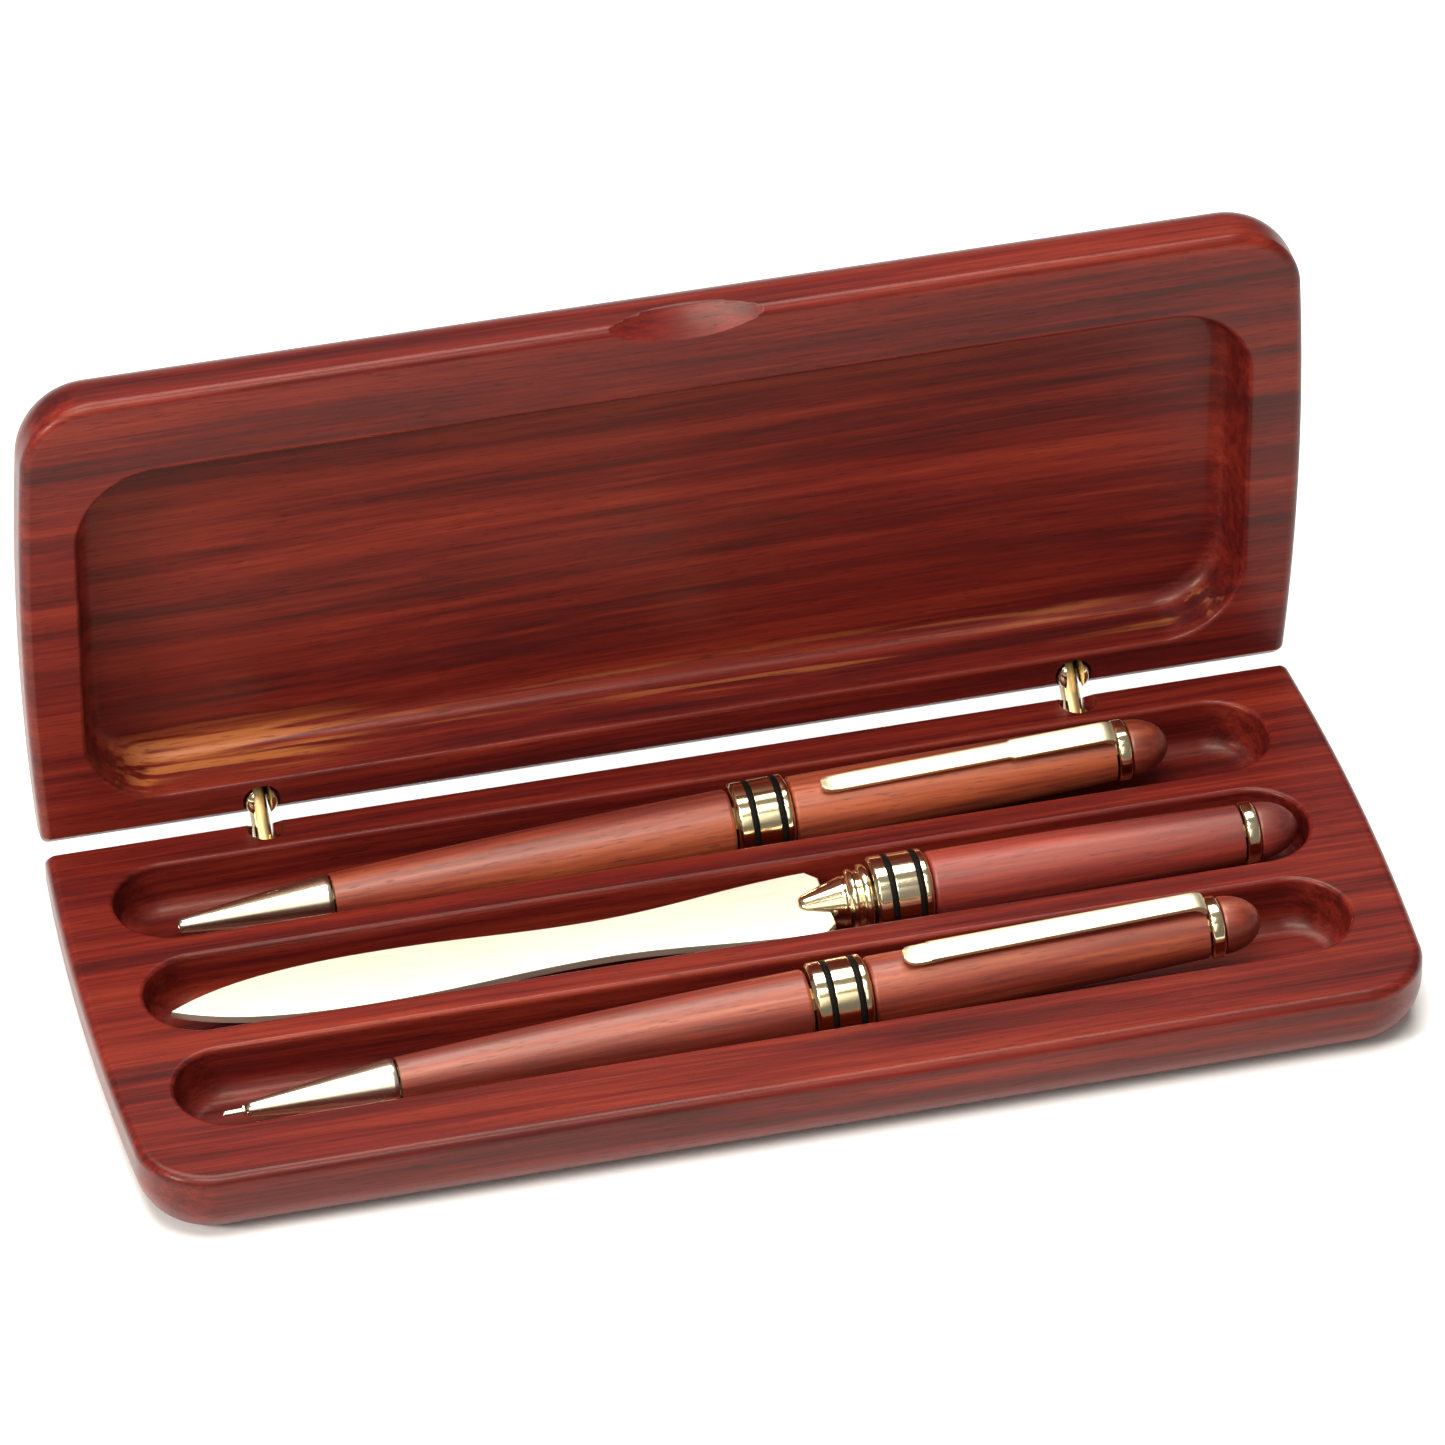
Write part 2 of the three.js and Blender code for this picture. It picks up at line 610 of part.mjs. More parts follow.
// The conical nose grips the blade's shoulder in a slot, and carries the tang through its bore.
function openerNoseGeometry() {
  const { noseStart, noseEnd, bandStart, shoulder, bladeThickness } = opener;
  const outer = [[noseStart, 0], [noseStart, 1.1], [noseStart + 0.6, 1.6], [noseEnd - 1, 3.4], [noseEnd - 0.5, 3.4],
    [noseEnd - 0.2, 4], [noseEnd + 0.9, 4.15], [noseEnd + 1.3, 3.8], [noseEnd + 1.7, 4.5], [bandStart - 0.7, 4.6],
    [bandStart - fit, 4.3], [bandStart - fit, 0]];
  const slot = new THREE.BoxGeometry(shoulder + fit - noseStart + 1, 14, bladeThickness + 2 * fit)
    .translate((shoulder + fit + noseStart - 1) / 2, 0, 0);
  const tangSlot = new THREE.BoxGeometry(20, 2 * (opener.tangHalfWidth + fit), bladeThickness + 2 * fit)
    .translate(shoulder + 8, 0, 0);
  return geometryOf(solid(turned(outer)).subtract(solid(slot)).subtract(solid(tangSlot)));
}

function addOpener() {
  const group = new THREE.Group();
  const bandEnd = opener.bandStart + band.length;
  layInSlot(group, opener, 0, THREE.MathUtils.degToRad(opener.tilt));
  model.add(group);
  addMesh(group, 'opener_blade', bladeGeometry(), 'gold');
  addMesh(group, 'opener_nose', openerNoseGeometry(), 'gold');
  addBand(group, 'opener', opener.bandStart);
  addBarrel(group, 'opener_handle', [[bandEnd + fit, 4.3], [bandEnd + 0.7, 4.6], [bandEnd + 18, 4.55],
    [opener.ringStart - 14, 4.25], [opener.ringStart - fit, 3.85]], 'rosewood');
  addTube(group, 'opener_handle_tube', opener.bandStart + fit, opener.ringStart - fit);
  addCap(group, 'opener', opener.ringStart, opener.end, opener.ringStart - 10, 'rosewood');
}

addOpener();

export default model;
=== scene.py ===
"""Looks of a hinged desk-set case with a twist pen, a letter opener and a twist pencil.

The frame gives every place. Settings and finished meshes are in metres. The hinge and
instrument sizes below and every turned profile are in millimetres, and an instrument's are
taken along and off its own axis from its tip.
"""
import json
import math

import bmesh
import bpy
from mathutils import Matrix, Vector
from mathutils.geometry import interpolate_bezier


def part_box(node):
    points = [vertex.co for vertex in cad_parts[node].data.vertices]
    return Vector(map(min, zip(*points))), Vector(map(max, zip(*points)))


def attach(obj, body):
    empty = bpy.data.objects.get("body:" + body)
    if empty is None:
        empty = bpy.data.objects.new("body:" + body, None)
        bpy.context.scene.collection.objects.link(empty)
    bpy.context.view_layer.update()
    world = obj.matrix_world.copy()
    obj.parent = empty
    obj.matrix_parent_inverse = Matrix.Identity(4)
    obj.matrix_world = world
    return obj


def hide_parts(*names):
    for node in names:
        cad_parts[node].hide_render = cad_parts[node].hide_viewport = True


bl_info = {
    "name": "Desk Set Case",
    "version": (1, 0, 0),
    "blender": (4, 5, 0),
    "location": "3D View > Sidebar > Desk Set",
    "description": "Models a wooden desk-set case, its pens and its letter opener around the frame",
    "category": "Add Mesh",
}

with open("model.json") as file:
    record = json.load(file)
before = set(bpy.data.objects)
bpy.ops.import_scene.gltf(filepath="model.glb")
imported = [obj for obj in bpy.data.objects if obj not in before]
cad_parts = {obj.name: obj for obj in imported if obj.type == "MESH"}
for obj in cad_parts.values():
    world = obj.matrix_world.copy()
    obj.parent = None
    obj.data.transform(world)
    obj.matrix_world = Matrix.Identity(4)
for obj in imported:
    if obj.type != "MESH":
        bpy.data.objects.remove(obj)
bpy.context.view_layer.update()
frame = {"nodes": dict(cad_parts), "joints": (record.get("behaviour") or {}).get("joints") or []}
JOINTS = {joint["name"]: joint for joint in frame["joints"]}

MM = 0.001
QUARTER = math.pi / 2
BASE_LOW, BASE_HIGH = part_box("case_base")
HEIGHT = BASE_HIGH.z - BASE_LOW.z
REAR_Y = BASE_HIGH.y
FRONT_Y = BASE_LOW.y
BASE_PIVOT = Vector(JOINTS["links_swing"]["pos_m"])
LID_PIVOT = Vector(JOINTS["lid_swing"]["pos_m"])
OPENER_TILT = math.radians(0.8)

HINGE_RADIUS = 2.25
HINGE_LENGTH = 9.4
FORK_DEPTH = 7.6
FORK_WIDTH = 2.4
PIN_RADIUS = 0.85
LINK_RADIUS = 1.3
LINK_THICKNESS = 2.2

BORE = 2.8
STUD_BORE = 1.7
BAND_RADIUS = 5.3
GROOVE_DEPTH = 0.45
GROOVE_HALF_WIDTH = 0.42
BAND_BEVEL = 0.45
CAP_RING_RADIUS = 4.15
CAP_DOME_RADIUS = 3.85
BLADE_THICKNESS = 1.3
SHOULDER = 88.5
TANG_HALF_WIDTH = 1.5


# ---------- settings ----------

def length(name, description, default):
    return bpy.props.FloatProperty(
        name=name, description=description, default=default, min=0.0, unit="LENGTH", precision=5
    )


def colour(name, description, default):
    return bpy.props.FloatVectorProperty(
        name=name, description=description, default=default, subtype="COLOR", size=3, min=0.0, max=1.0
    )


def share(name, description, default):
    return bpy.props.FloatProperty(
        name=name, description=description, default=default, min=0.0, max=1.0, subtype="FACTOR"
    )


def watts(name, description, default):
    return bpy.props.FloatProperty(
        name=name, description=description, default=default, min=0.0, unit="POWER"
    )


class CaseSettings(bpy.types.PropertyGroup):
    """Shape and finish of the two wooden halves."""

    end_bulge: length("End bulge", "How far each end bows out at mid depth", 0.0015)
    front_corner: length("Front corner", "Plan radius of the two front corners", 0.010)
    rear_corner: length("Hinge corner", "Plan radius of the two hinge-side corners", 0.0012)
    outer_round: length("Outer round", "Bull-nose round of the front and the ends", 0.0078)
    rear_round: length("Hinge-side round", "Round of the hinge side's outer edge", 0.003)
    face_edge: length("Face edge", "Round along the parting face", 0.0014)
    rear_bevel: length("Hinge bevel", "Bevel that lets the lid swing back", 0.002)
    slot_half_length: length("Slot half length", "Half the length of each slot", 0.079)
    slot_radius: length("Slot radius", "Radius of the slots' round ends", 0.0075)
    slot_depth: length("Slot depth", "Depth of the slots", 0.0075)
    slot_fillet: length("Slot fillet", "Fillet along the slots' floors", 0.003)
    slot_middle: length("Middle slot", "Place of the middle slot in front of the hinge side", 0.0342)
    slot_pitch: length("Slot pitch", "Distance between neighbouring slots", 0.0195)
    rim_round: length("Rim round", "Round along the rims of the slots and the recess", 0.0007)
    recess_half_length: length("Recess half length", "Half the length of the lid's recess", 0.0793)
    recess_rear: length("Recess hinge margin", "Wood left on the hinge side of the recess", 0.0065)
    recess_front: length("Recess front margin", "Wood left in front of the recess", 0.0117)
    recess_corner: length("Recess corner", "Plan radius of the recess", 0.011)
    recess_depth: length("Recess depth", "Depth of the recess", 0.0076)
    recess_fillet: length("Recess fillet", "Cove along the recess's floor", 0.0026)
    recess_draft: length("Recess draft", "How far the recess's walls lean in", 0.0008)
    scoop_radius: length("Scoop radius", "Radius of the thumb scoop along the face", 0.0242)
    scoop_bite: length("Scoop bite", "How far the thumb scoop reaches in from the front", 0.0024)
    scoop_drop: length("Scoop drop", "Height of the scoop's centre over the face", 0.015)
    dark: colour("Dark streak", "Darkest grain", (0.038, 0.0042, 0.0042))
    middle: colour("Wood", "Main tone", (0.094, 0.0075, 0.0055))
    light: colour("Light streak", "Lightest grain", (0.172, 0.0190, 0.0086))
    sapwood: colour("Sapwood", "Pale streak in the lid's recess", (0.34, 0.105, 0.031))


class InstrumentSettings(bpy.types.PropertyGroup):
    """Finish of the pen, the pencil and the letter opener."""

    gold: colour("Gold", "Plated metal", (0.93, 0.80, 0.53))
    blade_gold: colour("Blade gold", "Plating of the blade", (0.99, 0.93, 0.76))
    clip_gold: colour("Clip gold", "Plating of the clips", (0.87, 0.78, 0.52))
    cone_gold: colour("Cone gold", "Plating of the nose cones", (0.80, 0.71, 0.57))
    enamel: colour("Enamel", "Lines in the centre bands", (0.004, 0.0035, 0.003))
    barrel_dark: colour("Barrel dark streak", "Darkest barrel grain", (0.078, 0.0080, 0.0050))
    barrel_middle: colour("Barrel", "Main barrel tone", (0.172, 0.0200, 0.0090))
    barrel_light: colour("Barrel light streak", "Lightest barrel grain", (0.32, 0.070, 0.0200))
    polish: share("Gold roughness", "Roughness of the polished metal", 0.13)
    satin: share("Blade roughness", "Roughness of the blade's face", 0.52)


class StageSettings(bpy.types.PropertyGroup):
    """Floor, lights and camera."""

    floor: colour("Floor", "Pale floor", (0.88, 0.88, 0.87))
    distance: length("Camera distance", "Camera to the case", 1.5)
    view_width: length("View width", "Width seen at the case", 0.1911)
    overhead: watts("Overhead", "Power of the top light", 10.0)
    front: watts("Front top", "Power of the light over the front", 7.5)
    key: watts("Key", "Power of the left light", 9.0)
    card: watts("Card", "Power of the pale card behind the camera", 6.0)
    room: share("Room", "Brightness of the room", 0.20)


# ---------- shader building ----------

class Socket:
    """An output of a material's node that takes part in arithmetic."""

    def __init__(self, finish, link):
        self.finish = finish
        self.link = link

    def maths(self, operation, *values):
        return self.finish.node("ShaderNodeMath", dict(enumerate(values)), {"operation": operation})

    def __add__(self, other):
        return self.maths("ADD", self, other)

    def __sub__(self, other):
        return self.maths("SUBTRACT", self, other)

    def __rsub__(self, other):
        return self.maths("SUBTRACT", other, self)

    def __mul__(self, other):
        return self.maths("MULTIPLY", self, other)

    def __abs__(self):
        return self.maths("ABSOLUTE", self)

    __radd__ = __add__
    __rmul__ = __mul__


class Finish:
    """A material under construction."""

    def __init__(self, name):
        self.material = bpy.data.materials.new(name)
        self.material.use_nodes = True
        self.tree = self.material.node_tree
        self.tree.nodes.clear()

    def node(self, kind, inputs, settings=None, output=0):
        """Adds a node, applies its settings, sets or links its inputs and returns one output."""
        made = self.tree.nodes.new(kind)
        for key, value in (settings or {}).items():
            setattr(made, key, value)
        for key, value in inputs.items():
            if isinstance(value, Socket):
                self.tree.links.new(value.link, made.inputs[key])
            else:
                made.inputs[key].default_value = value
        return Socket(self, made.outputs[output])

    def place(self):
        return self.node("ShaderNodeTexCoord", {}, output="Object")

    def stretched(self, vector, scale, turn=(0.0, 0.0, 0.0), shift=(0.0, 0.0, 0.0)):
        moved = self.node("ShaderNodeMapping", {"Vector": vector, "Rotation": turn, "Location": shift})
        return self.node("ShaderNodeMapping", {"Vector": moved, "Scale": scale})

    def noise(self, vector, detail=2.0, roughness=0.5):
        inputs = {"Vector": vector, "Scale": 1.0, "Detail": detail, "Roughness": roughness}
        return self.node("ShaderNodeTexNoise", inputs)

    def ramp(self, factor, stops):
        """A colour for each value, through stops that are each a (position, tone)."""
        made = self.node("ShaderNodeValToRGB", {"Fac": factor})
        elements = made.link.node.color_ramp.elements
        while len(elements) < len(stops):
            elements.new(0.5)
        for element, (position, tone) in zip(elements, stops):
            element.position = position
            element.color = rgba(tone)
        return made

    def between(self, value, low, high):
        """0 below low, 1 above high, and smooth between them."""
        inputs = {"Value": value, "From Min": low, "From Max": high}
        return self.node("ShaderNodeMapRange", inputs, {"interpolation_type": "SMOOTHSTEP"})

    def mix(self, factor, first, second):
        return self.node("ShaderNodeMix", {0: factor, 6: first, 7: second}, {"data_type": "RGBA"}, output=2)

    def split(self, vector):
        inputs = {"Vector": vector}
        return [self.node("ShaderNodeSeparateXYZ", inputs, output=axis) for axis in range(3)]

    def bump(self, height, strength, distance):
        inputs = {"Height": height, "Strength": strength, "Distance": distance}
        return self.node("ShaderNodeBump", inputs)

    def shade(self, inputs):
        """Finishes the material with one Principled shader."""
        shader = self.node("ShaderNodeBsdfPrincipled", inputs)
        output = self.tree.nodes.new("ShaderNodeOutputMaterial")
        self.tree.links.new(shader.link, output.inputs["Surface"])
        return self.material


def rgba(tone):
    return (*tone, 1.0)


# ---------- finishes ----------

def sapwood_mask(finish, place, streaks):
    """Where the pale sapwood shows: low on the recess's left wall, and thinly along its lower cove."""
    recess_bottom, streak_top = (0.0176, 0.0184), (0.0198, 0.0230)
    parting_face, recess_floor = (0.0358, 0.0368), (0.0434, 0.0442)
    recess_end = (0.0795, 0.0802)
    left_rise, left_fall = (-0.076, -0.070), (-0.052, -0.034)
    x, y, z = finish.split(place)
    ragged = (streaks - 0.5) * 0.006
    low = finish.between(z, *recess_bottom) * (1.0 - finish.between(z + ragged, *streak_top))
    inside = finish.between(y, *parting_face) * (1.0 - finish.between(y, *recess_floor))
    inside = inside * (1.0 - finish.between(abs(x), *recess_end))
    left = finish.between(x, *left_rise) * (1.0 - finish.between(x, *left_fall)) * 0.9
    patches = finish.noise(finish.stretched(place, (26.0, 700.0, 700.0)))
    thin = finish.between(patches, 0.54, 0.68) * 0.45
    patch = left * finish.between(patches, 0.44, 0.58)
    return low * inside * patch.maths("MAXIMUM", patch, thin)


def lacquered_wood(name, tones, turn=0.0, shift=(0.0, 0.0, 0.0), grain=1.0, sheen=0.24, matt=0.28,
                   coat=0.05, sapwood=None):
    """Straight-grained rosewood under clear lacquer. Tones run from dark to light."""
    finish = Finish(name)
    place = finish.place()
    waver = finish.noise(finish.stretched(place, (9.0, 22.0, 22.0), shift=shift), detail=1.0)
    sideways = finish.node("ShaderNodeCombineXYZ", {1: waver, 2: waver})
    inputs = {0: sideways, 1: (0.0, 0.004, 0.004), 2: place}
    wavered = finish.node("ShaderNodeVectorMath", inputs, {"operation": "MULTIPLY_ADD"})

    def along(length_scale, width_scale, detail):
        scale = (length_scale, width_scale * grain, width_scale * grain)
        vector = finish.stretched(wavered, scale, (0.0, turn, 0.0), shift)
        return finish.noise(vector, detail=detail, roughness=0.55)

    bands = along(7.0, 150.0, 2.0)
    streaks = along(15.0, 620.0, 3.0)
    hairs = along(70.0, 2300.0, 2.0)
    pores = finish.between(along(330.0, 4300.0, 1.0), 0.60, 0.72)
    tone = bands * 0.40 + streaks * 0.37 + hairs * 0.23
    dark, middle, light = tones
    darker = tuple(0.5 * (a + b) for a, b in zip(dark, middle))
    lighter = tuple(0.6 * a + 0.4 * b for a, b in zip(middle, light))
    stops = [(0.38, dark), (0.45, darker), (0.50, middle), (0.56, lighter), (0.65, light)]
    wood = finish.ramp(tone, stops)
    if sapwood:
        wood = finish.mix(sapwood_mask(finish, place, streaks), wood, rgba(sapwood))
    wood = finish.mix(pores * 0.45, wood, rgba(tuple(0.35 * part for part in dark)))
    relief = hairs * 0.4 - pores * 0.5
    return finish.shade({
        "Base Color": wood,
        "Roughness": matt + 0.16 * streaks + 0.1 * pores,
        "Specular IOR Level": sheen,
        "Specular Tint": (1.0, 0.74, 0.62, 1.0),
        "Coat Weight": coat,
        "Coat Roughness": 0.17,
        "Normal": finish.bump(relief, 0.12, 0.00012),
    })


def plated(name, tone, roughness, cloudy=1.0):
    """Polished plating with faint handling marks."""
    wear = 0.05
    finish = Finish(name)
    place = finish.place()
    marks = finish.noise(finish.stretched(place, (160.0, 900.0, 900.0)), detail=3.0)
    cloud = finish.noise(finish.stretched(place, (55.0, 55.0, 55.0)))
    deep = tuple(part * (1 - cloudy * loss) for part, loss in zip(tone, (0.07, 0.12, 0.22)))
    return finish.shade({
        "Base Color": finish.mix(finish.between(cloud, 0.35, 0.7), rgba(tone), rgba(deep)),
        "Metallic": 1.0,
        "Roughness": roughness - wear + 2.0 * wear * marks,
        "Normal": finish.bump(marks, 0.03, 0.00005),
    })


def plain_metal(name, tone, roughness):
    """Turned metal that isn't plated: fine rings and a duller tone."""
    finish = Finish(name)
    place = finish.place()
    rings = finish.noise(finish.stretched(place, (2400.0, 120.0, 120.0)))
    stain = finish.noise(finish.stretched(place, (90.0, 90.0, 90.0)), detail=3.0)
    dull = tuple(0.6 * part for part in tone)
    return finish.shade({
        "Base Color": finish.mix(finish.between(stain, 0.4, 0.75), rgba(tone), rgba(dull)),
        "Metallic": 1.0,
        "Roughness": roughness + 0.18 * (rings - 0.5),
        "Normal": finish.bump(rings, 0.08, 0.00004),
    })


def enamelled(name, tone):
    """Glossy enamel with a slight ripple."""
    finish = Finish(name)
    ripple = finish.noise(finish.stretched(finish.place(), (500.0, 500.0, 500.0)))
    return finish.shade({
        "Base Color": finish.mix(ripple, rgba(tone), rgba(tuple(1.8 * part for part in tone))),
        "Roughness": 0.42 + 0.1 * ripple,
        "IOR": 1.12,
        "Normal": finish.bump(ripple, 0.04, 0.00005),
    })


def pencil_lead(name):
    """Dull graphite with a faint shine along its length."""
    finish = Finish(name)
    grains = finish.noise(finish.stretched(finish.place(), (900.0, 3000.0, 3000.0)), detail=3.0)
    return finish.shade({
        "Base Color": finish.mix(grains, (0.02, 0.02, 0.021, 1.0), (0.055, 0.055, 0.058, 1.0)),
        "Metallic": 0.25,
        "Roughness": 0.45 + 0.2 * grains,
        "Normal": finish.bump(grains, 0.1, 0.00003),
    })


def finishes(scene):
    """How each finish is made, by its name."""
    case = scene.case_settings
    tools = scene.instrument_settings
    case_tones = [tuple(tone) for tone in (case.dark, case.middle, case.light)]
    barrel_tones = [tuple(tone) for tone in (tools.barrel_dark, tools.barrel_middle, tools.barrel_light)]
    warmer = tuple(0.7 * a + 0.3 * b for a, b in zip(barrel_tones[1], barrel_tones[2]))
    warm_tones = [barrel_tones[0], warmer, tuple(1.25 * part for part in barrel_tones[2])]
    handle_tones = [(1.75 * red, 1.85 * green, 1.75 * blue) for red, green, blue in case_tones]
    cap_tones = [tuple(0.8 * part for part in tone) for tone in barrel_tones]
    gold = tuple(tools.gold)
    tilt = {name: axis_tilt(name) for name in ("pen", "pencil", "opener")}
    sapwood = tuple(case.sapwood)

    def turned_wood(tones, turn, shift, matt=0.42):
        return lambda name: lacquered_wood(name, tones, turn, shift, 0.8, sheen=0.9, matt=matt, coat=0.08)

    return {
        "base_rosewood": lambda name: lacquered_wood(name, case_tones),
        "lid_rosewood": lambda name: lacquered_wood(
            name, case_tones, shift=(0.31, 0.07, 0.18), sapwood=sapwood
        ),
        "pen_barrel": turned_wood(barrel_tones, tilt["pen"], (0.1, 0.2, 0.3)),
        "pen_cap_wood": turned_wood(warm_tones, tilt["pen"], (0.4, 0.1, 0.2)),
        "pencil_barrel": turned_wood(barrel_tones, tilt["pencil"], (0.7, 0.5, 0.1)),
        "cap_wood": turned_wood(cap_tones, 0.0, (0.2, 0.6, 0.4), 0.34),
        "opener_handle": turned_wood(handle_tones, tilt["opener"], (0.9, 0.3, 0.6)),
        "polished_gold": lambda name: plated(name, gold, tools.polish),
        "satin_gold": lambda name: plated(name, tuple(tools.blade_gold), tools.satin, cloudy=0.15),
        "clip_gold": lambda name: plated(name, tuple(tools.clip_gold), 0.40, cloudy=0.4),
        "soft_gold": lambda name: plated(name, tuple(tools.cone_gold), 2 * tools.polish),
        "turned_brass": lambda name: plain_metal(name, (0.62, 0.44, 0.20), 0.32),
        "plain_steel": lambda name: plain_metal(name, (0.55, 0.55, 0.54), 0.3),
        "groove_enamel": lambda name: enamelled(name, tuple(tools.enamel)),
        "pencil_graphite": pencil_lead,
    }


def finish_named(context, name):
    """A finish by its name, made when it is first asked for."""
    return bpy.data.materials.get(name) or finishes(context.scene)[name](name)


# ---------- mesh building ----------

def arc(centre, radius, start, end, steps):
    """Points of a plan arc, angles in degrees."""
    angles = [math.radians(start + (end - start) * i / steps) for i in range(steps + 1)]
    return [(centre[0] + radius * math.cos(a), centre[1] + radius * math.sin(a)) for a in angles]


def quarter_turn(steps):
    """The sine and cosine at even steps from 0 to 90 degrees."""
    angles = [QUARTER * i / steps for i in range(steps + 1)]
    return [(math.sin(a), math.cos(a)) for a in angles]


def run(start, end, steps):
    """Even steps from start to end, each with its share of the way."""
    return [(start + (end - start) * i / steps, i / steps) for i in range(steps + 1)]


def stack(levels):
    """Closed solid through outlines of equal length, each a (height, [(x, y), ...])."""
    bm = bmesh.new()
    (height, outline), *rest = levels
    ring = [bm.verts.new((x, y, height)) for x, y in outline]
    face = first = bm.faces.new(ring)
    for height, outline in rest:
        covered = face
        made = bmesh.ops.extrude_face_region(bm, geom=[covered])["geom"]
        face = next(part for part in made if isinstance(part, bmesh.types.BMFace))
        lifted = {tuple(vert.co): vert for vert in face.verts}
        ring = [lifted[tuple(vert.co)] for vert in ring]
        for vert, (x, y) in zip(ring, outline):
            vert.co = (x, y, height)
        if covered.is_valid and covered is not first:
            bmesh.ops.delete(bm, geom=[covered], context="FACES_ONLY")
    bmesh.ops.recalc_face_normals(bm, faces=bm.faces)
    return bm


def softened(profile, radius, closed):
    """The same profile with each corner rounded off, apart from points on the axis."""
    steps = 3
    count = len(profile)
    out = []
    for i, point in enumerate(profile):
        at_end = not closed and i in (0, count - 1)
        if at_end or point[1] == 0:
            out.append(point)
            continue
        p = Vector(point)
        before = Vector(profile[i - 1]) - p
        after = Vector(profile[(i + 1) % count]) - p
        if before.angle(-after, 0.0) < math.radians(8):
            out.append(point)
            continue
        start = p + before.normalized() * min(radius, 0.4 * before.length)
        end = p + after.normalized() * min(radius, 0.4 * after.length)
        for k in range(steps + 1):
            t = k / steps
            out.append(tuple(start * (1 - t) ** 2 + p * 2 * t * (1 - t) + end * t ** 2))
    return out


def turned(profile, closed=False, edge=0.12, steps=72):
    """Spins a profile of (along, radius) millimetres about the X axis."""
    bm = bmesh.new()
    points = softened(profile, edge, closed)
    verts = [bm.verts.new((along * MM, 0.0, radius * MM)) for along, radius in points]
    pairs = list(zip(verts, verts[1:]))
    if closed:
        pairs.append((verts[-1], verts[0]))
    edges = [bm.edges.new(pair) for pair in pairs]
    bmesh.ops.spin(
        bm, geom=verts + edges, axis=(1, 0, 0), angle=2 * math.pi, steps=steps, use_merge=True
    )
    bmesh.ops.remove_doubles(bm, verts=bm.verts, dist=1e-7)
    bmesh.ops.recalc_face_normals(bm, faces=bm.faces)
    return bm


def temporary(bm, name):
    mesh = bpy.data.meshes.new(name)
    bm.to_mesh(mesh)
    bm.free()
    made = bpy.data.objects.new(name, mesh)
    bpy.context.scene.collection.objects.link(made)
    return made


def carved(body, *cutters):
    """The body with every cutter taken out of it. All the meshes given are used up."""
    kept = temporary(body, "carved_body")
    tools = [temporary(cutter, "carved_tool") for cutter in cutters]
    for tool in tools:
        cut = kept.modifiers.new("cut", "BOOLEAN")
        cut.operation = "DIFFERENCE"
        cut.solver = "EXACT"
        cut.object = tool
    evaluated = kept.evaluated_get(bpy.context.evaluated_depsgraph_get())
    mesh = bpy.data.meshes.new_from_object(evaluated)
    bm = bmesh.new()
    bm.from_mesh(mesh)
    bpy.data.meshes.remove(mesh)
    for used in [kept, *tools]:
        spent = used.data
        bpy.data.objects.remove(used)
        bpy.data.meshes.remove(spent)
    bmesh.ops.remove_doubles(bm, verts=bm.verts, dist=1e-6)
    return bm


def box(size, centre):
    bm = bmesh.new()
    place = Matrix.LocRotScale(Vector(centre), None, Vector(size))
    bmesh.ops.create_cube(bm, size=1.0, matrix=place)
    return bm


def rod(radius, depth, place, segments):
    bm = bmesh.new()
    bmesh.ops.create_cone(
        bm, cap_ends=True, segments=segments, radius1=radius, radius2=radius, depth=depth, matrix=place
    )
    return bm


def piece(context, name, bm, body, nodes, finish, place=None):
    """Turns a mesh into a finished object that rides on a body in place of its CAD nodes."""
    if place is not None:
        bmesh.ops.transform(bm, matrix=place, verts=bm.verts)
    bmesh.ops.remove_doubles(bm, verts=bm.verts, dist=2e-7)
    bmesh.ops.dissolve_degenerate(bm, edges=bm.edges, dist=1e-7)
    bmesh.ops.recalc_face_normals(bm, faces=bm.faces)
    if not bm.faces:
        raise RuntimeError(f"{name} came out empty")
    mesh = bpy.data.meshes.new(name)
    bm.to_mesh(mesh)
    bm.free()
    mesh.shade_smooth()
    mesh.set_sharp_from_angle(angle=math.radians(50.0))
    mesh.materials.append(finish_named(context, finish))
    made = bpy.data.objects.new(name, mesh)
    context.scene.collection.objects.link(made)
    even = made.modifiers.new("even shading", "WEIGHTED_NORMAL")
    even.keep_sharp = True
    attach(made, body)
    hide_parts(*nodes)
    return made


# ---------- places ----------

def axis_tilt(name):
    """How far an instrument's axis rises towards its cap."""
    if name == "opener":
        return OPENER_TILT
    axis = JOINTS[f"{name}_twist"]["axis"]
    return math.atan2(axis[2], axis[0])


def instrument_place(name):
    """Takes an instrument's own axis, with its tip at the origin, to where it lies in its slot."""
    if name == "opener":
        low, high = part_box("opener_blade")
        tip = Vector((max(low.x, BASE_LOW.x), 0.5 * (low.y + high.y), low.z + 0.5 * BLADE_THICKNESS * MM))
    else:
        tip = Vector(JOINTS[f"{name}_twist"]["pos_m"])
    return Matrix.Translation(tip) @ Matrix.Rotation(-axis_tilt(name), 4, "Y")


def span(node, instrument):
    """Where a CAD node starts and ends along its instrument's axis, in millimetres."""
    back = instrument_place(instrument).inverted()
    along = [(back @ vert.co).x / MM for vert in frame["nodes"][node].data.vertices]
    return min(along), max(along)


def lid_place():
    """Takes a case half with its face up and its outside on z = 0 to where the open lid stands."""
    rise = LID_PIVOT - BASE_PIVOT
    open_angle = Matrix.Rotation(-2 * math.atan2(rise.y, rise.z), 4, "X")
    centred = Matrix.Translation((0.0, -BASE_PIVOT.y, BASE_PIVOT.z)) @ Matrix.Rotation(math.pi, 4, "Y")
    return Matrix.Translation(LID_PIVOT) @ open_angle @ centred


# ---------- case halves ----------

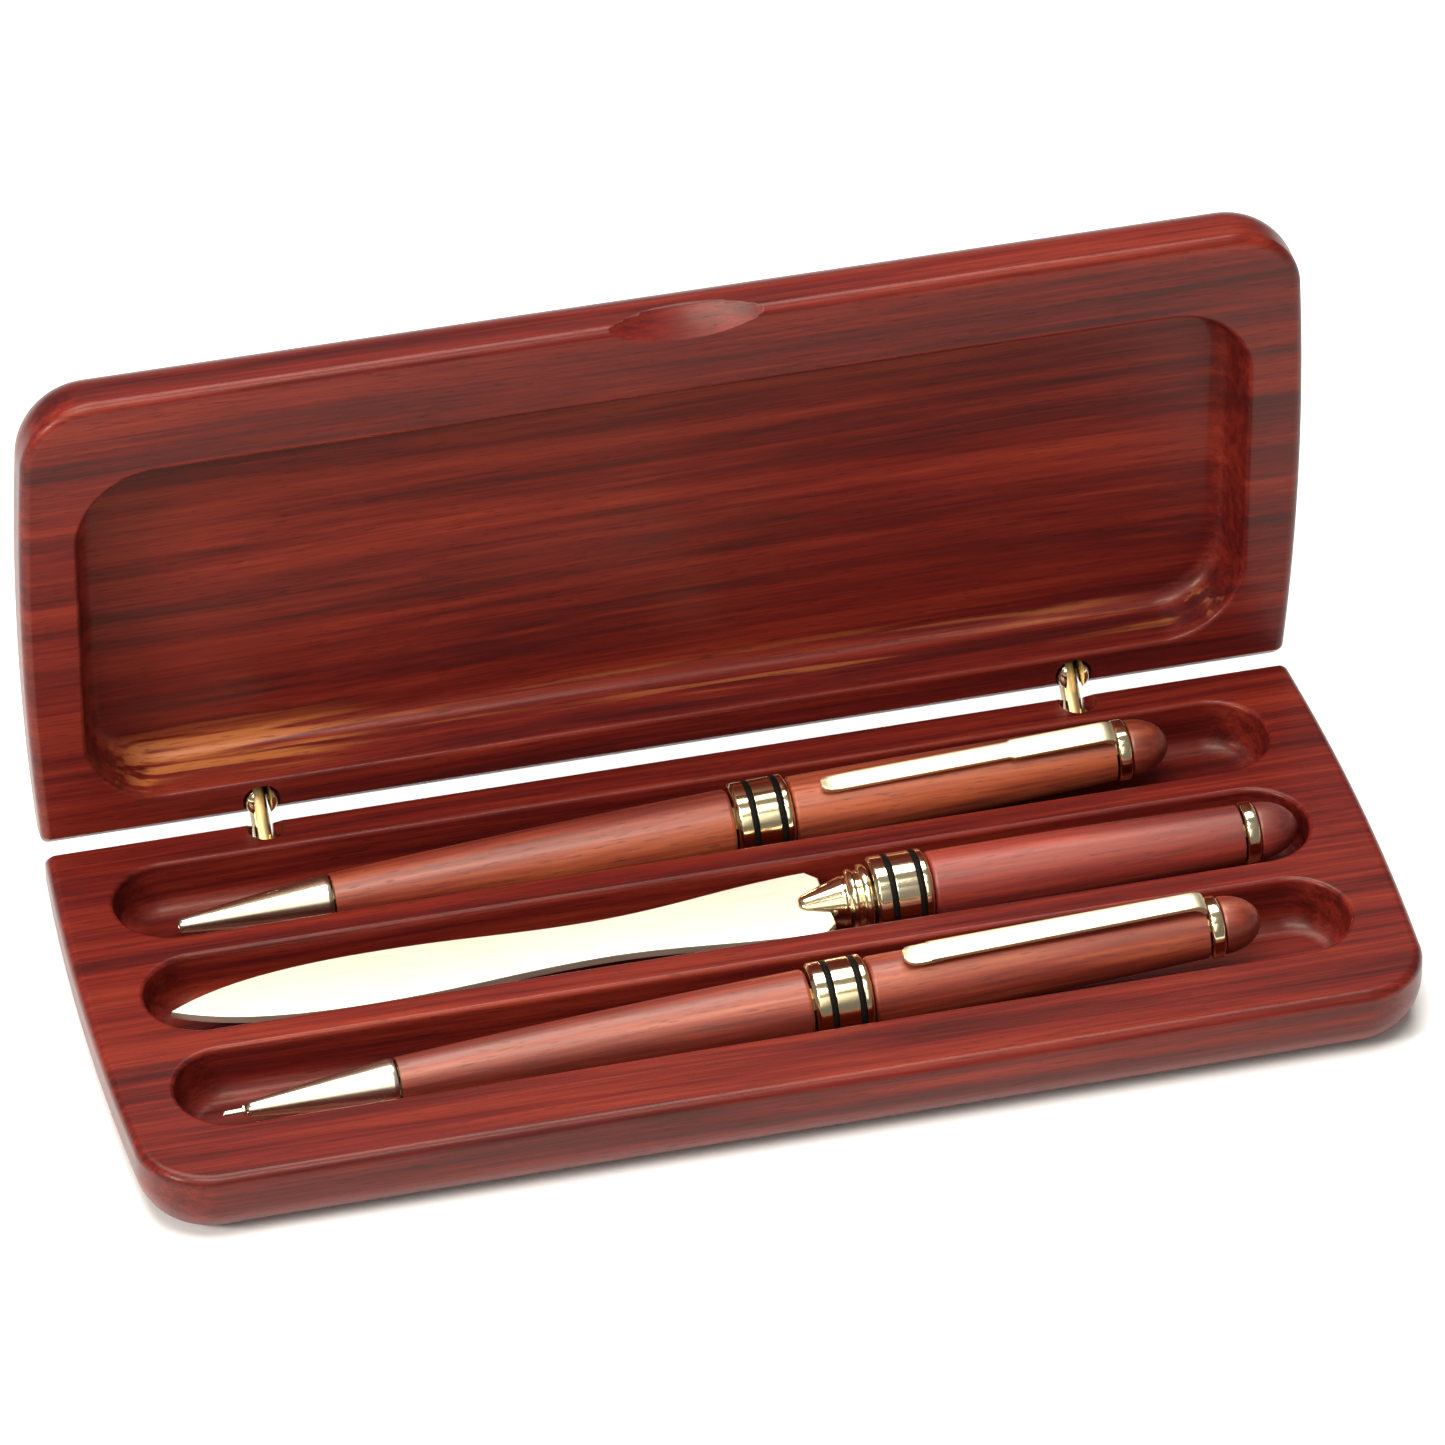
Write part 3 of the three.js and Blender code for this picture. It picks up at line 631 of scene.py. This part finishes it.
def half_length_at(case, y):
    """The ends bow outwards in a shallow curve."""
    at_hinge = BASE_HIGH.x - case.end_bulge
    return at_hinge + case.end_bulge * (1 - (y / REAR_Y) ** 2)


def shell_outline(case, inset, rear_inset):
    """Plan outline, drawn in by one inset on the front and ends and by another on the hinge side."""
    rear_corner = max(case.rear_corner - min(inset, rear_inset), 0.0002)
    front_corner = case.front_corner - inset
    rear = REAR_Y - rear_inset - rear_corner
    front = FRONT_Y + case.front_corner
    rear_x = half_length_at(case, rear) - inset - rear_corner
    front_x = half_length_at(case, front) - inset - front_corner
    steps = 20
    levels = [rear + (front - rear) * (i + 1) / steps for i in range(steps - 1)]
    end = [(half_length_at(case, y) - inset, y) for y in levels]
    hinge_corner = arc((rear_x, rear), rear_corner, 90, 0, 4)
    right = hinge_corner + end + arc((front_x, front), front_corner, 0, -90, 18)
    return right + [(-x, y) for x, y in reversed(right)]


def half_shell(case):
    """One half of the case, its outside down at z = 0 and its parting face up."""
    levels = []
    for sine, cosine in quarter_turn(20):
        drawn = 1 - sine
        outline = shell_outline(case, case.outer_round * drawn, case.rear_round * drawn)
        levels.append((case.outer_round * (1 - cosine), outline))
    levels.append((HEIGHT - case.rear_bevel, shell_outline(case, 0.0, 0.0)))
    for sine, cosine in quarter_turn(12):
        below = case.face_edge * (1 - sine)
        outline = shell_outline(case, case.face_edge * (1 - cosine), case.rear_bevel - below)
        levels.append((HEIGHT - below, outline))
    return stack(levels)


def pocket(case, outline_at, depth, fillet, draft):
    """Cuts down from the parting face: rounded rim, straight wall and filleted floor."""
    levels = []
    floor = HEIGHT - depth
    for sine, cosine in quarter_turn(8):
        levels.append((floor + fillet * (1 - cosine), outline_at(-draft - fillet * (1 - sine))))
    for sine, cosine in quarter_turn(5):
        levels.append((HEIGHT - case.rim_round * (1 - sine), outline_at(case.rim_round * (1 - cosine))))
    levels.append((HEIGHT + MM, outline_at(case.rim_round)))
    return stack(levels)


def slot_cutter(case, row):
    y = REAR_Y - case.slot_middle + row * case.slot_pitch
    centre = case.slot_half_length - case.slot_radius

    def outline(grow):
        radius = case.slot_radius + grow
        return arc((centre, y), radius, -90, 90, 32) + arc((-centre, y), radius, 90, 270, 32)

    return pocket(case, outline, case.slot_depth, case.slot_fillet, 0.0)


def recess_cutter(case):
    x = case.recess_half_length - case.recess_corner
    rear = REAR_Y - case.recess_rear - case.recess_corner
    front = FRONT_Y + case.recess_front + case.recess_corner

    def outline(grow):
        radius = case.recess_corner + grow
        corners = [((x, front), -90), ((x, rear), 0), ((-x, rear), 90), ((-x, front), 180)]
        return [point for centre, start in corners for point in arc(centre, radius, start, start + 90, 18)]

    return pocket(case, outline, case.recess_depth, case.recess_fillet, case.recess_draft)


def hinge_cutters():
    """The round hole for each hinge barrel, and the notch that its link swings through."""
    radius = (HINGE_RADIUS + 0.3) * MM
    hole_depth = (HINGE_LENGTH + 0.4) * MM
    notch = Vector((2.9 * MM, REAR_Y - BASE_PIVOT.y + MM, 4.9 * MM))
    cutters = []
    for x in hinge_places():
        place = Matrix.Translation((x, BASE_PIVOT.y, HEIGHT - hole_depth + 0.5 * (hole_depth + MM)))
        cutters.append(rod(radius, hole_depth + MM, place, 48))
        centre = (x, BASE_PIVOT.y + 0.5 * notch.y, HEIGHT - notch.z + 0.5 * (notch.z + MM))
        cutters.append(box((notch.x, notch.y, notch.z + MM), centre))
    return cutters


def hinge_places():
    """The x of each hinge."""
    boxes = [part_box(f"hinge_{side}_base_barrel") for side in ("left", "right")]
    return [0.5 * (low.x + high.x) for low, high in boxes]


def scoop_cutter(case):
    """A ball that bites a crescent out of the lid's front edge."""
    radius = math.hypot(case.scoop_radius, case.scoop_drop)
    y = FRONT_Y + 0.7 * MM + case.scoop_bite - case.scoop_radius
    scoop_x = 2.5 * MM
    place = Matrix.Translation((-scoop_x, y, HEIGHT + case.scoop_drop)) @ Matrix.Rotation(QUARTER, 4, "Y")
    bm = bmesh.new()
    bmesh.ops.create_uvsphere(bm, u_segments=256, v_segments=180, radius=radius, matrix=place)
    return bm


class DESKSET_OT_base(bpy.types.Operator):
    """Routed base with three round-ended slots"""

    bl_idname = "deskset.base"
    bl_label = "Base"

    def execute(self, context):
        case = context.scene.case_settings
        slots = [slot_cutter(case, row) for row in (-1, 0, 1)]
        body = carved(half_shell(case), *slots, *hinge_cutters())
        piece(context, "base_wood", body, "base", ["case_base"], "base_rosewood")
        return {"FINISHED"}


class DESKSET_OT_lid(bpy.types.Operator):
    """Routed lid with its recess and thumb scoop"""

    bl_idname = "deskset.lid"
    bl_label = "Lid"

    def execute(self, context):
        case = context.scene.case_settings
        body = carved(half_shell(case), recess_cutter(case), scoop_cutter(case), *hinge_cutters())
        piece(context, "lid_wood", body, "lid", ["case_lid"], "lid_rosewood", lid_place())
        return {"FINISHED"}


# ---------- hinges ----------

def barrel_mesh(rise):
    """A round barrel with its pivot at the origin, domed, with a fork slot for the link.

    The rise is how far its crown stands over the wood's parting face.
    """
    radius = HINGE_RADIUS
    face = (HEIGHT - BASE_PIVOT.z) / MM
    bottom = face - HINGE_LENGTH
    dome = 1.5
    crown = [(face + rise - dome * (1 - sine), radius * cosine) for sine, cosine in quarter_turn(8)]
    crown[-1] = (face + rise, 0)
    profile = [(bottom, 0), (bottom, radius - 0.4), (bottom + 0.4, radius), *crown]
    bm = turned(profile, edge=0.25, steps=48)
    bmesh.ops.transform(bm, matrix=Matrix.Rotation(-QUARTER, 4, "Y"), verts=bm.verts)
    clear = 3.0
    fork_size = Vector((FORK_WIDTH, 6.0, FORK_DEPTH + clear)) * MM
    fork = box(fork_size, (0, 0, (face + 0.5 * (clear - FORK_DEPTH)) * MM))
    pin_hole = rod(PIN_RADIUS * MM, 6 * MM, Matrix.Rotation(QUARTER, 4, "Y"), 24)
    return carved(bm, fork, pin_hole)


def link_mesh():
    """A flat round-ended link between the two pivots, with its edges eased."""
    reach = (LID_PIVOT - BASE_PIVOT).length
    half = LINK_RADIUS * MM
    thickness = LINK_THICKNESS * MM
    ease = 0.4 * MM

    def outline(grow):
        return arc((0, reach), half + grow, 0, 180, 16) + arc((0, 0), half + grow, 180, 360, 16)

    levels = [(0, outline(-ease)), (ease, outline(0))]
    levels += [(thickness - ease, outline(0)), (thickness, outline(-ease))]
    bm = stack(levels)
    holes = [rod(PIN_RADIUS * MM, 4 * MM, Matrix.Translation((0, y, 0)), 24) for y in (0.0, reach)]
    bm = carved(bm, *holes)
    upright = Matrix.Rotation(QUARTER, 4, "Z") @ Matrix.Rotation(QUARTER, 4, "X")
    centred = Matrix.Translation((0, 0, -0.5 * thickness))
    bmesh.ops.transform(bm, matrix=upright @ centred, verts=bm.verts)
    return bm


class DESKSET_OT_hinges(bpy.types.Operator):
    """Two barrel hinges, each two barrels and a link"""

    bl_idname = "deskset.hinges"
    bl_label = "Hinges"

    def execute(self, context):
        leaning = Matrix.Rotation(-0.5 * QUARTER, 4, "X")
        lying = Matrix.Rotation(-QUARTER, 4, "X") @ Matrix.Rotation(math.pi, 4, "Y")
        for side, x in zip(("left", "right"), hinge_places()):
            across = Matrix.Translation((x, 0, 0))
            hinge = f"hinge_{side}"
            base = across @ Matrix.Translation(BASE_PIVOT)
            lid = across @ Matrix.Translation(LID_PIVOT) @ lying
            for half, rise, place in (("base", -1.7, base), ("lid", 1.4, lid)):
                piece(context, f"{hinge}_{half}_barrel_turned", barrel_mesh(rise), half,
                      [f"{hinge}_{half}_barrel"], "polished_gold", place)
                dress(context, f"{hinge}_{half}_pin", "turned_brass")
            piece(context, f"{hinge}_link_plate", link_mesh(), "hinge_links", [f"{hinge}_link"],
                  "turned_brass", base @ leaning)
        return {"FINISHED"}


def dress(context, node, finish):
    """Gives a CAD node that stays its finish."""
    materials = frame["nodes"][node].data.materials
    materials.clear()
    materials.append(finish_named(context, finish))


# ---------- instruments ----------

def sleeve(outer, bore, edge=0.12):
    """A ring or tube: its outer profile, then the bore walked back."""
    return turned([*outer, (outer[-1][0], bore), (outer[0][0], bore)], closed=True, edge=edge)


def lower_barrel(start, end):
    """Swelling barrel that ends in a shallow shoulder against the centre band."""
    swell = [(along, 3.2 + 2.40 * t - 0.95 * t * t) for along, t in run(start, end - 0.4, 24)]
    return [*swell, (end, 4.4)]


def upper_barrel(start, end):
    """Barrel that narrows from the centre band to the cap ring."""
    narrow = [(along, 4.70 - 0.06 * t - 0.72 * t * t) for along, t in run(start + 0.4, end, 24)]
    return [(start, 4.4), *narrow]


class DESKSET_OT_barrels(bpy.types.Operator):
    """Wooden barrels of the pen and the pencil, and the opener's handle"""

    bl_idname = "deskset.barrels"
    bl_label = "Wooden barrels"

    def execute(self, context):
        for name in ("pen", "pencil"):
            place = instrument_place(name)
            lower = sleeve(lower_barrel(*span(f"{name}_lower_barrel", name)), BORE)
            upper = sleeve(upper_barrel(*span(f"{name}_upper_barrel", name)), BORE)
            cap_wood = "pen_cap_wood" if name == "pen" else "pencil_barrel"
            piece(context, f"{name}_lower_wood", lower, f"{name}_lower", [f"{name}_lower_barrel"],
                  f"{name}_barrel", place)
            piece(context, f"{name}_upper_wood", upper, f"{name}_cap", [f"{name}_upper_barrel"],
                  cap_wood, place)
        start, end = span("opener_handle", "opener")
        handle = sleeve(upper_barrel(start, end), BORE)
        piece(context, "opener_handle_wood", handle, "opener", ["opener_handle"],
              "opener_handle", instrument_place("opener"))
        return {"FINISHED"}


class DESKSET_OT_bands(bpy.types.Operator):
    """Gold centre bands with their black enamel lines"""

    bl_idname = "deskset.bands"
    bl_label = "Centre bands"

    def execute(self, context):
        for name, body in (("pen", "pen_lower"), ("pencil", "pencil_lower"), ("opener", "opener")):
            place = instrument_place(name)
            start, end = span(f"{name}_centre_band", name)
            floor = BAND_RADIUS - GROOVE_DEPTH
            profile = [(start, BAND_RADIUS - BAND_BEVEL), (start + BAND_BEVEL, BAND_RADIUS)]
            for spot in ("front", "rear"):
                low, high = span(f"{name}_band_ring_{spot}", name)
                middle = 0.5 * (low + high)
                near, far = middle - GROOVE_HALF_WIDTH, middle + GROOVE_HALF_WIDTH
                profile += [(near, BAND_RADIUS), (near, floor), (far, floor), (far, BAND_RADIUS)]
                line = [(near + 0.02, BAND_RADIUS - 0.06), (middle, BAND_RADIUS + 0.02),
                        (far - 0.02, BAND_RADIUS - 0.06)]
                piece(context, f"{name}_enamel_line_{spot}", sleeve(line, floor + 0.05, 0.1), body,
                      [f"{name}_band_ring_{spot}"], "groove_enamel", place)
            profile += [(end - BAND_BEVEL, BAND_RADIUS), (end, BAND_RADIUS - BAND_BEVEL)]
            piece(context, f"{name}_band_gold", sleeve(profile, BORE, 0.1), body,
                  [f"{name}_centre_band"], "polished_gold", place)
        return {"FINISHED"}


class DESKSET_OT_caps(bpy.types.Operator):
    """Gold cap rings and the wooden domes that close the far ends"""

    bl_idname = "deskset.caps"
    bl_label = "Caps"

    def execute(self, context):
        woods = {"pen": "cap_wood", "pencil": "cap_wood", "opener": "opener_handle"}
        for name, wood in woods.items():
            body = "opener" if name == "opener" else f"{name}_cap"
            place = instrument_place(name)
            start, end = span(f"{name}_cap_ring", name)
            ease = 0.25
            radius = CAP_RING_RADIUS
            ring = [(start, radius - ease), (start + ease, radius), (end - ease, radius)]
            ring.append((end, radius - ease))
            piece(context, f"{name}_cap_ring_gold", sleeve(ring, STUD_BORE), body, [f"{name}_cap_ring"],
                  "polished_gold", place)
            start, end = span(f"{name}_cap_dome", name)
            foot = start + 0.2
            radius = CAP_DOME_RADIUS
            dome = [(foot + (end - foot) * sine, radius * cosine) for sine, cosine in quarter_turn(20)]
            dome[-1] = (end, 0)
            stud_end = start + 3
            stud = [(stud_end, 0), (stud_end, STUD_BORE), (start, STUD_BORE), (start, radius - 0.1)]
            piece(context, f"{name}_cap_dome_wood", turned([*stud, *dome]), body, [f"{name}_cap_dome"],
                  wood, place)
        return {"FINISHED"}


class DESKSET_OT_noses(bpy.types.Operator):
    """Gold nose cones of the pen and the pencil, and the pencil's lead pipe"""

    bl_idname = "deskset.noses"
    bl_label = "Nose cones"

    def execute(self, context):
        for name in ("pen", "pencil"):
            start, end = span(f"{name}_nose_cone", name)
            taper = [(along, 1.08 + 2.12 * t ** 0.92) for along, t in run(start + 0.6, end - 0.8, 12)]
            outer = [(start, 0.75), (start + 0.35, 1.0), *taper, (end - 0.6, 3.22), (end, 3.1)]
            bore = [(end, 2.1), (start + 14, 1.9), (start + 9, 1.25), (start + 6, 0.8), (start + 3, 0.55),
                    (start, 0.55)]
            cone = turned([*outer, *bore], closed=True, edge=0.15)
            piece(context, f"{name}_nose_gold", cone, f"{name}_lower", [f"{name}_nose_cone"],
                  "soft_gold", instrument_place(name))
        start, end = span("pencil_lead_pipe", "pencil")
        pipe = [(start, 0.42), (start + 0.2, 0.5), (end - 0.3, 0.5), (end - 0.3, 0.9), (end, 0.9)]
        piece(context, "pencil_pipe_gold", sleeve(pipe, 0.3, 0.05), "pencil_lower", ["pencil_lead_pipe"],
              "soft_gold", instrument_place("pencil"))
        return {"FINISHED"}


def clip_mesh(length_mm, step, root_width, step_width, free_width):
    """Spring strip from its root at the origin towards -X; z is the distance off the barrel's axis."""
    stations = [
        (0.0, root_width, 4.3, 5.35), (0.35, root_width, 4.5, 5.85), (0.9, root_width, 5.0, 6.15),
        (1.7, root_width, 5.4, 6.3), (3.0, root_width, 5.5, 6.28), (step, step_width, 5.45, 6.2),
        (step + 0.6, free_width, 5.45, 6.18), (length_mm - 5, free_width, 5.32, 6.08),
        (length_mm - 2.2, free_width, 5.2, 5.98), (length_mm - 1.2, 0.96 * free_width, 5.3, 6.03),
        (length_mm - 0.45, 0.8 * free_width, 5.5, 6.2), (length_mm, 0.45 * free_width, 5.68, 6.3),
    ]
    levels = []
    for along, width, low, high in stations:
        w = 0.5 * width
        crown = high + 0.06
        shoulder = high - 0.12
        right = [(0.45 * w, crown - 0.02), (0.88 * w, high), (w, shoulder), (w, low + 0.1), (0.8 * w, low)]
        left = [(-y, z) for y, z in reversed(right)]
        section = [*left, (0, crown), *right]
        levels.append((along * MM, [(y * MM, z * MM) for y, z in section]))
    bm = stack(levels)
    lie = Matrix(((0, 0, -1, 0), (1, 0, 0, 0), (0, 1, 0, 0), (0, 0, 0, 1)))
    bmesh.ops.transform(bm, matrix=lie, verts=bm.verts)
    return bm


class DESKSET_OT_clips(bpy.types.Operator):
    """Spring clips of the pen and the pencil"""

    bl_idname = "deskset.clips"
    bl_label = "Clips"

    def execute(self, context):
        shapes = {
            "pen": {"step": 14.2, "root_width": 2.9, "step_width": 2.9, "free_width": 2.4},
            "pencil": {"step": 36.9, "root_width": 2.7, "step_width": 3.2, "free_width": 3.2},
        }
        for name, shape in shapes.items():
            start, end = span(f"{name}_clip", name)
            axis = Vector(JOINTS[f"{name}_clip_flex"]["axis"])
            turn = math.acos(max(-1.0, min(1.0, axis.y)))
            root = Matrix.Translation((end * MM, 0, 0))
            place = instrument_place(name) @ Matrix.Rotation(turn, 4, "X") @ root
            mesh = clip_mesh(end - start, **shape)
            piece(context, f"{name}_clip_gold", mesh, f"{name}_clip", [f"{name}_clip"],
                  "clip_gold", place)
        return {"FINISHED"}


def curve(points, steps=14):
    """Cubic curve through its four control points, last point left out."""
    controls = [Vector((x, y, 0)) for x, y in points]
    return [(p.x, p.y) for p in interpolate_bezier(*controls, steps + 1)[:-1]]


def blade_outline(tang_end):
    """Half the blade's plan from the tip back: belly, waist, flared shoulder and tang."""
    half = curve([(0, 0), (6, 3.4), (14, 5.2), (27, 5.2)], 16)
    half += curve([(27, 5.2), (40, 5.2), (46, 3.8), (57, 3.8)])
    half += curve([(57, 3.8), (68, 3.8), (76, 6.2), (SHOULDER - 1.5, 6.4)])
    half += [(SHOULDER - 1.5, 6.4), (SHOULDER, 4.8)]
    half += [(SHOULDER, TANG_HALF_WIDTH), (tang_end, TANG_HALF_WIDTH)]
    return half


class DESKSET_OT_blade(bpy.types.Operator):
    """Flat gold blade of the letter opener, with its tang"""

    bl_idname = "deskset.blade"
    bl_label = "Blade"

    def execute(self, context):
        tang_end = span("opener_blade", "opener")[1]
        half_thickness = 0.5 * BLADE_THICKNESS * MM
        half = blade_outline(tang_end)
        outline = [(x * MM, -y * MM) for x, y in half] + [(x * MM, y * MM) for x, y in reversed(half[1:])]
        bm = stack([(-half_thickness, outline), (half_thickness, outline)])
        rims = [e for e in bm.edges if abs(e.verts[0].co.z - e.verts[1].co.z) < 1e-7]
        bmesh.ops.bevel(
            bm, geom=rims, offset=0.22 * MM, offset_type="OFFSET", segments=3, profile=0.5,
            affect="EDGES", material=-1
        )
        piece(context, "opener_blade_gold", bm, "opener", ["opener_blade"], "satin_gold",
              instrument_place("opener"))
        return {"FINISHED"}


class DESKSET_OT_opener_nose(bpy.types.Operator):
    """Turned gold nose with its beads, slotted for the blade"""

    bl_idname = "deskset.opener_nose"
    bl_label = "Opener nose"

    def execute(self, context):
        start, end = span("opener_nose", "opener")
        cone_end = end - 2.7
        cone = [(start, 0), (start, 1.0), (start + 0.5, 1.55)]
        beads = [(-0.9, 3.45), (-0.45, 3.3), (-0.1, 3.95), (0.4, 4.2), (0.9, 3.95), (1.2, 3.7), (1.6, 4.45)]
        foot = [(end - 0.5, 4.6), (end, 4.35), (end, 0)]
        bm = turned([*cone, *((cone_end + along, radius) for along, radius in beads), *foot], edge=0.3)
        slot_height = BLADE_THICKNESS + 0.6
        slot_end = SHOULDER + 0.3
        slot_size = Vector((end - start, 14.0, slot_height)) * MM
        slot = box(slot_size, ((slot_end - 0.5 * (end - start)) * MM, 0, 0))
        tang_size = Vector((20.0, 2 * TANG_HALF_WIDTH + 0.6, slot_height)) * MM
        tang_middle = 96 * MM
        tang = box(tang_size, (tang_middle, 0, 0))
        piece(context, "opener_nose_gold", carved(bm, slot, tang), "opener", ["opener_nose"],
              "polished_gold", instrument_place("opener"))
        return {"FINISHED"}


class DESKSET_OT_inner_parts(bpy.types.Operator):
    """Finishes of the tubes, mechanisms, refill and lead inside the instruments"""

    bl_idname = "deskset.inner_parts"
    bl_label = "Inner parts"

    def execute(self, context):
        brass = ["opener_handle_tube", "opener_cap_plug", "pen_refill"]
        inner = ("lower_tube", "upper_tube", "twist_housing", "twist_sleeve", "cap_plug")
        for name in ("pen", "pencil"):
            brass += [f"{name}_{part}" for part in inner]
        for node in brass:
            dress(context, node, "turned_brass")
        for node in ("pen_pusher", "pencil_lead_carrier"):
            dress(context, node, "plain_steel")
        dress(context, "pencil_lead", "pencil_graphite")
        return {"FINISHED"}


# ---------- stage ----------

def area_light(context, name, power, size, place, tint):
    """A soft rectangle of light turned towards the case."""
    data = bpy.data.lights.new(name, "AREA")
    data.shape = "RECTANGLE"
    data.size, data.size_y = size
    data.energy = power
    data.color = tint
    light = bpy.data.objects.new(name, data)
    light.location = place
    light.rotation_mode = "QUATERNION"
    light.rotation_quaternion = (-Vector(place)).to_track_quat("-Z", "Y")
    context.scene.collection.objects.link(light)


def lay_floor(context, tone):
    """A pale floor with a barely seen mottle."""
    bm = bmesh.new()
    bmesh.ops.create_grid(bm, x_segments=1, y_segments=1, size=4.0)
    mesh = bpy.data.meshes.new("floor")
    bm.to_mesh(mesh)
    bm.free()
    finish = Finish("pale_floor")
    mottle = finish.noise(finish.stretched(finish.place(), (6.0, 6.0, 6.0)))
    mesh.materials.append(finish.shade({
        "Base Color": finish.mix(mottle, rgba(tone), rgba(tuple(0.985 * part for part in tone))),
        "Roughness": 0.9,
        "Specular IOR Level": 0.1,
    }))
    floor = bpy.data.objects.new("floor", mesh)
    context.scene.collection.objects.link(floor)


def set_room(context, strength):
    world = bpy.data.worlds.new("room")
    world.use_nodes = True
    background = world.node_tree.nodes["Background"]
    background.inputs["Color"].default_value = (1.0, 0.975, 0.95, 1.0)
    background.inputs["Strength"].default_value = strength
    context.scene.world = world


def place_camera(context, distance, view_width):
    """Looks down at the case from the front, a little from the left, aimed behind the middle slot."""
    azimuth, elevation = math.radians(-14.0), math.radians(38.4)
    level = Vector((math.sin(azimuth), -math.cos(azimuth), 0.0)) * math.cos(elevation)
    back = level + Vector((0.0, 0.0, math.sin(elevation)))
    turn = (-back).to_track_quat("-Z", "Y")
    behind_slot = Vector((0.0, REAR_Y - 0.0283, HEIGHT))
    shifted_up = Vector((0.00025, 0.0208, 0.0))
    aim = behind_slot + turn @ shifted_up
    data = bpy.data.cameras.new("camera")
    data.sensor_width = 36.0
    data.lens = data.sensor_width * distance / view_width
    data.clip_start, data.clip_end = 0.01, 20.0
    camera = bpy.data.objects.new("camera", data)
    camera.location = aim + back * distance
    camera.rotation_mode = "QUATERNION"
    camera.rotation_quaternion = turn
    context.scene.collection.objects.link(camera)
    context.scene.camera = camera


class DESKSET_OT_stage(bpy.types.Operator):
    """Pale floor, soft lights and the camera"""

    bl_idname = "deskset.stage"
    bl_label = "Stage"

    def execute(self, context):
        stage = context.scene.stage_settings
        lay_floor(context, tuple(stage.floor))
        set_room(context, stage.room)
        lights = {
            "overhead_softbox": (stage.overhead, (0.7, 0.45), (-0.05, 0.26, 0.85), (1.0, 0.985, 0.95)),
            "front_top": (stage.front, (0.5, 0.3), (-0.12, -0.34, 0.85), (1.0, 0.97, 0.92)),
            "left_key": (stage.key, (0.22, 0.22), (-0.85, -0.42, 0.62), (1.0, 0.96, 0.90)),
            "card": (stage.card, (1.3, 0.9), (-0.34, -1.36, 1.12), (1.0, 0.96, 0.90)),
        }
        for name, (power, size, place, tint) in lights.items():
            area_light(context, name, power, size, place, tint)
        place_camera(context, stage.distance, stage.view_width)
        context.scene.view_settings.view_transform = "Standard"
        return {"FINISHED"}


# ---------- panel and registration ----------

OPERATORS = (
    DESKSET_OT_base, DESKSET_OT_lid, DESKSET_OT_hinges, DESKSET_OT_barrels, DESKSET_OT_bands,
    DESKSET_OT_caps, DESKSET_OT_noses, DESKSET_OT_clips, DESKSET_OT_blade, DESKSET_OT_opener_nose,
    DESKSET_OT_inner_parts, DESKSET_OT_stage,
)
SETTINGS = {
    "case_settings": CaseSettings,
    "instrument_settings": InstrumentSettings,
    "stage_settings": StageSettings,
}


class DESKSET_PT_panel(bpy.types.Panel):
    """Every piece of the desk-set case, with its settings"""

    bl_label = "Desk Set"
    bl_idname = "DESKSET_PT_panel"
    bl_space_type = "VIEW_3D"
    bl_region_type = "UI"
    bl_category = "Desk Set"

    def draw(self, context):
        for operator in OPERATORS:
            self.layout.operator(operator.bl_idname)
        for name, group in SETTINGS.items():
            section = self.layout.box()
            for setting in group.__annotations__:
                section.prop(getattr(context.scene, name), setting)


def register():
    for name, group in SETTINGS.items():
        bpy.utils.register_class(group)
        setattr(bpy.types.Scene, name, bpy.props.PointerProperty(type=group))
    for operator in OPERATORS:
        bpy.utils.register_class(operator)
    bpy.utils.register_class(DESKSET_PT_panel)


def unregister():
    bpy.utils.unregister_class(DESKSET_PT_panel)
    for operator in reversed(OPERATORS):
        bpy.utils.unregister_class(operator)
    for name, group in SETTINGS.items():
        delattr(bpy.types.Scene, name)
        bpy.utils.unregister_class(group)


def main():
    register()
    bpy.ops.deskset.base()
    bpy.ops.deskset.lid()
    bpy.ops.deskset.hinges()
    bpy.ops.deskset.barrels()
    bpy.ops.deskset.bands()
    bpy.ops.deskset.caps()
    bpy.ops.deskset.noses()
    bpy.ops.deskset.clips()
    bpy.ops.deskset.blade()
    bpy.ops.deskset.opener_nose()
    bpy.ops.deskset.inner_parts()
    bpy.ops.deskset.stage()


if __name__ == "__main__":
    main()
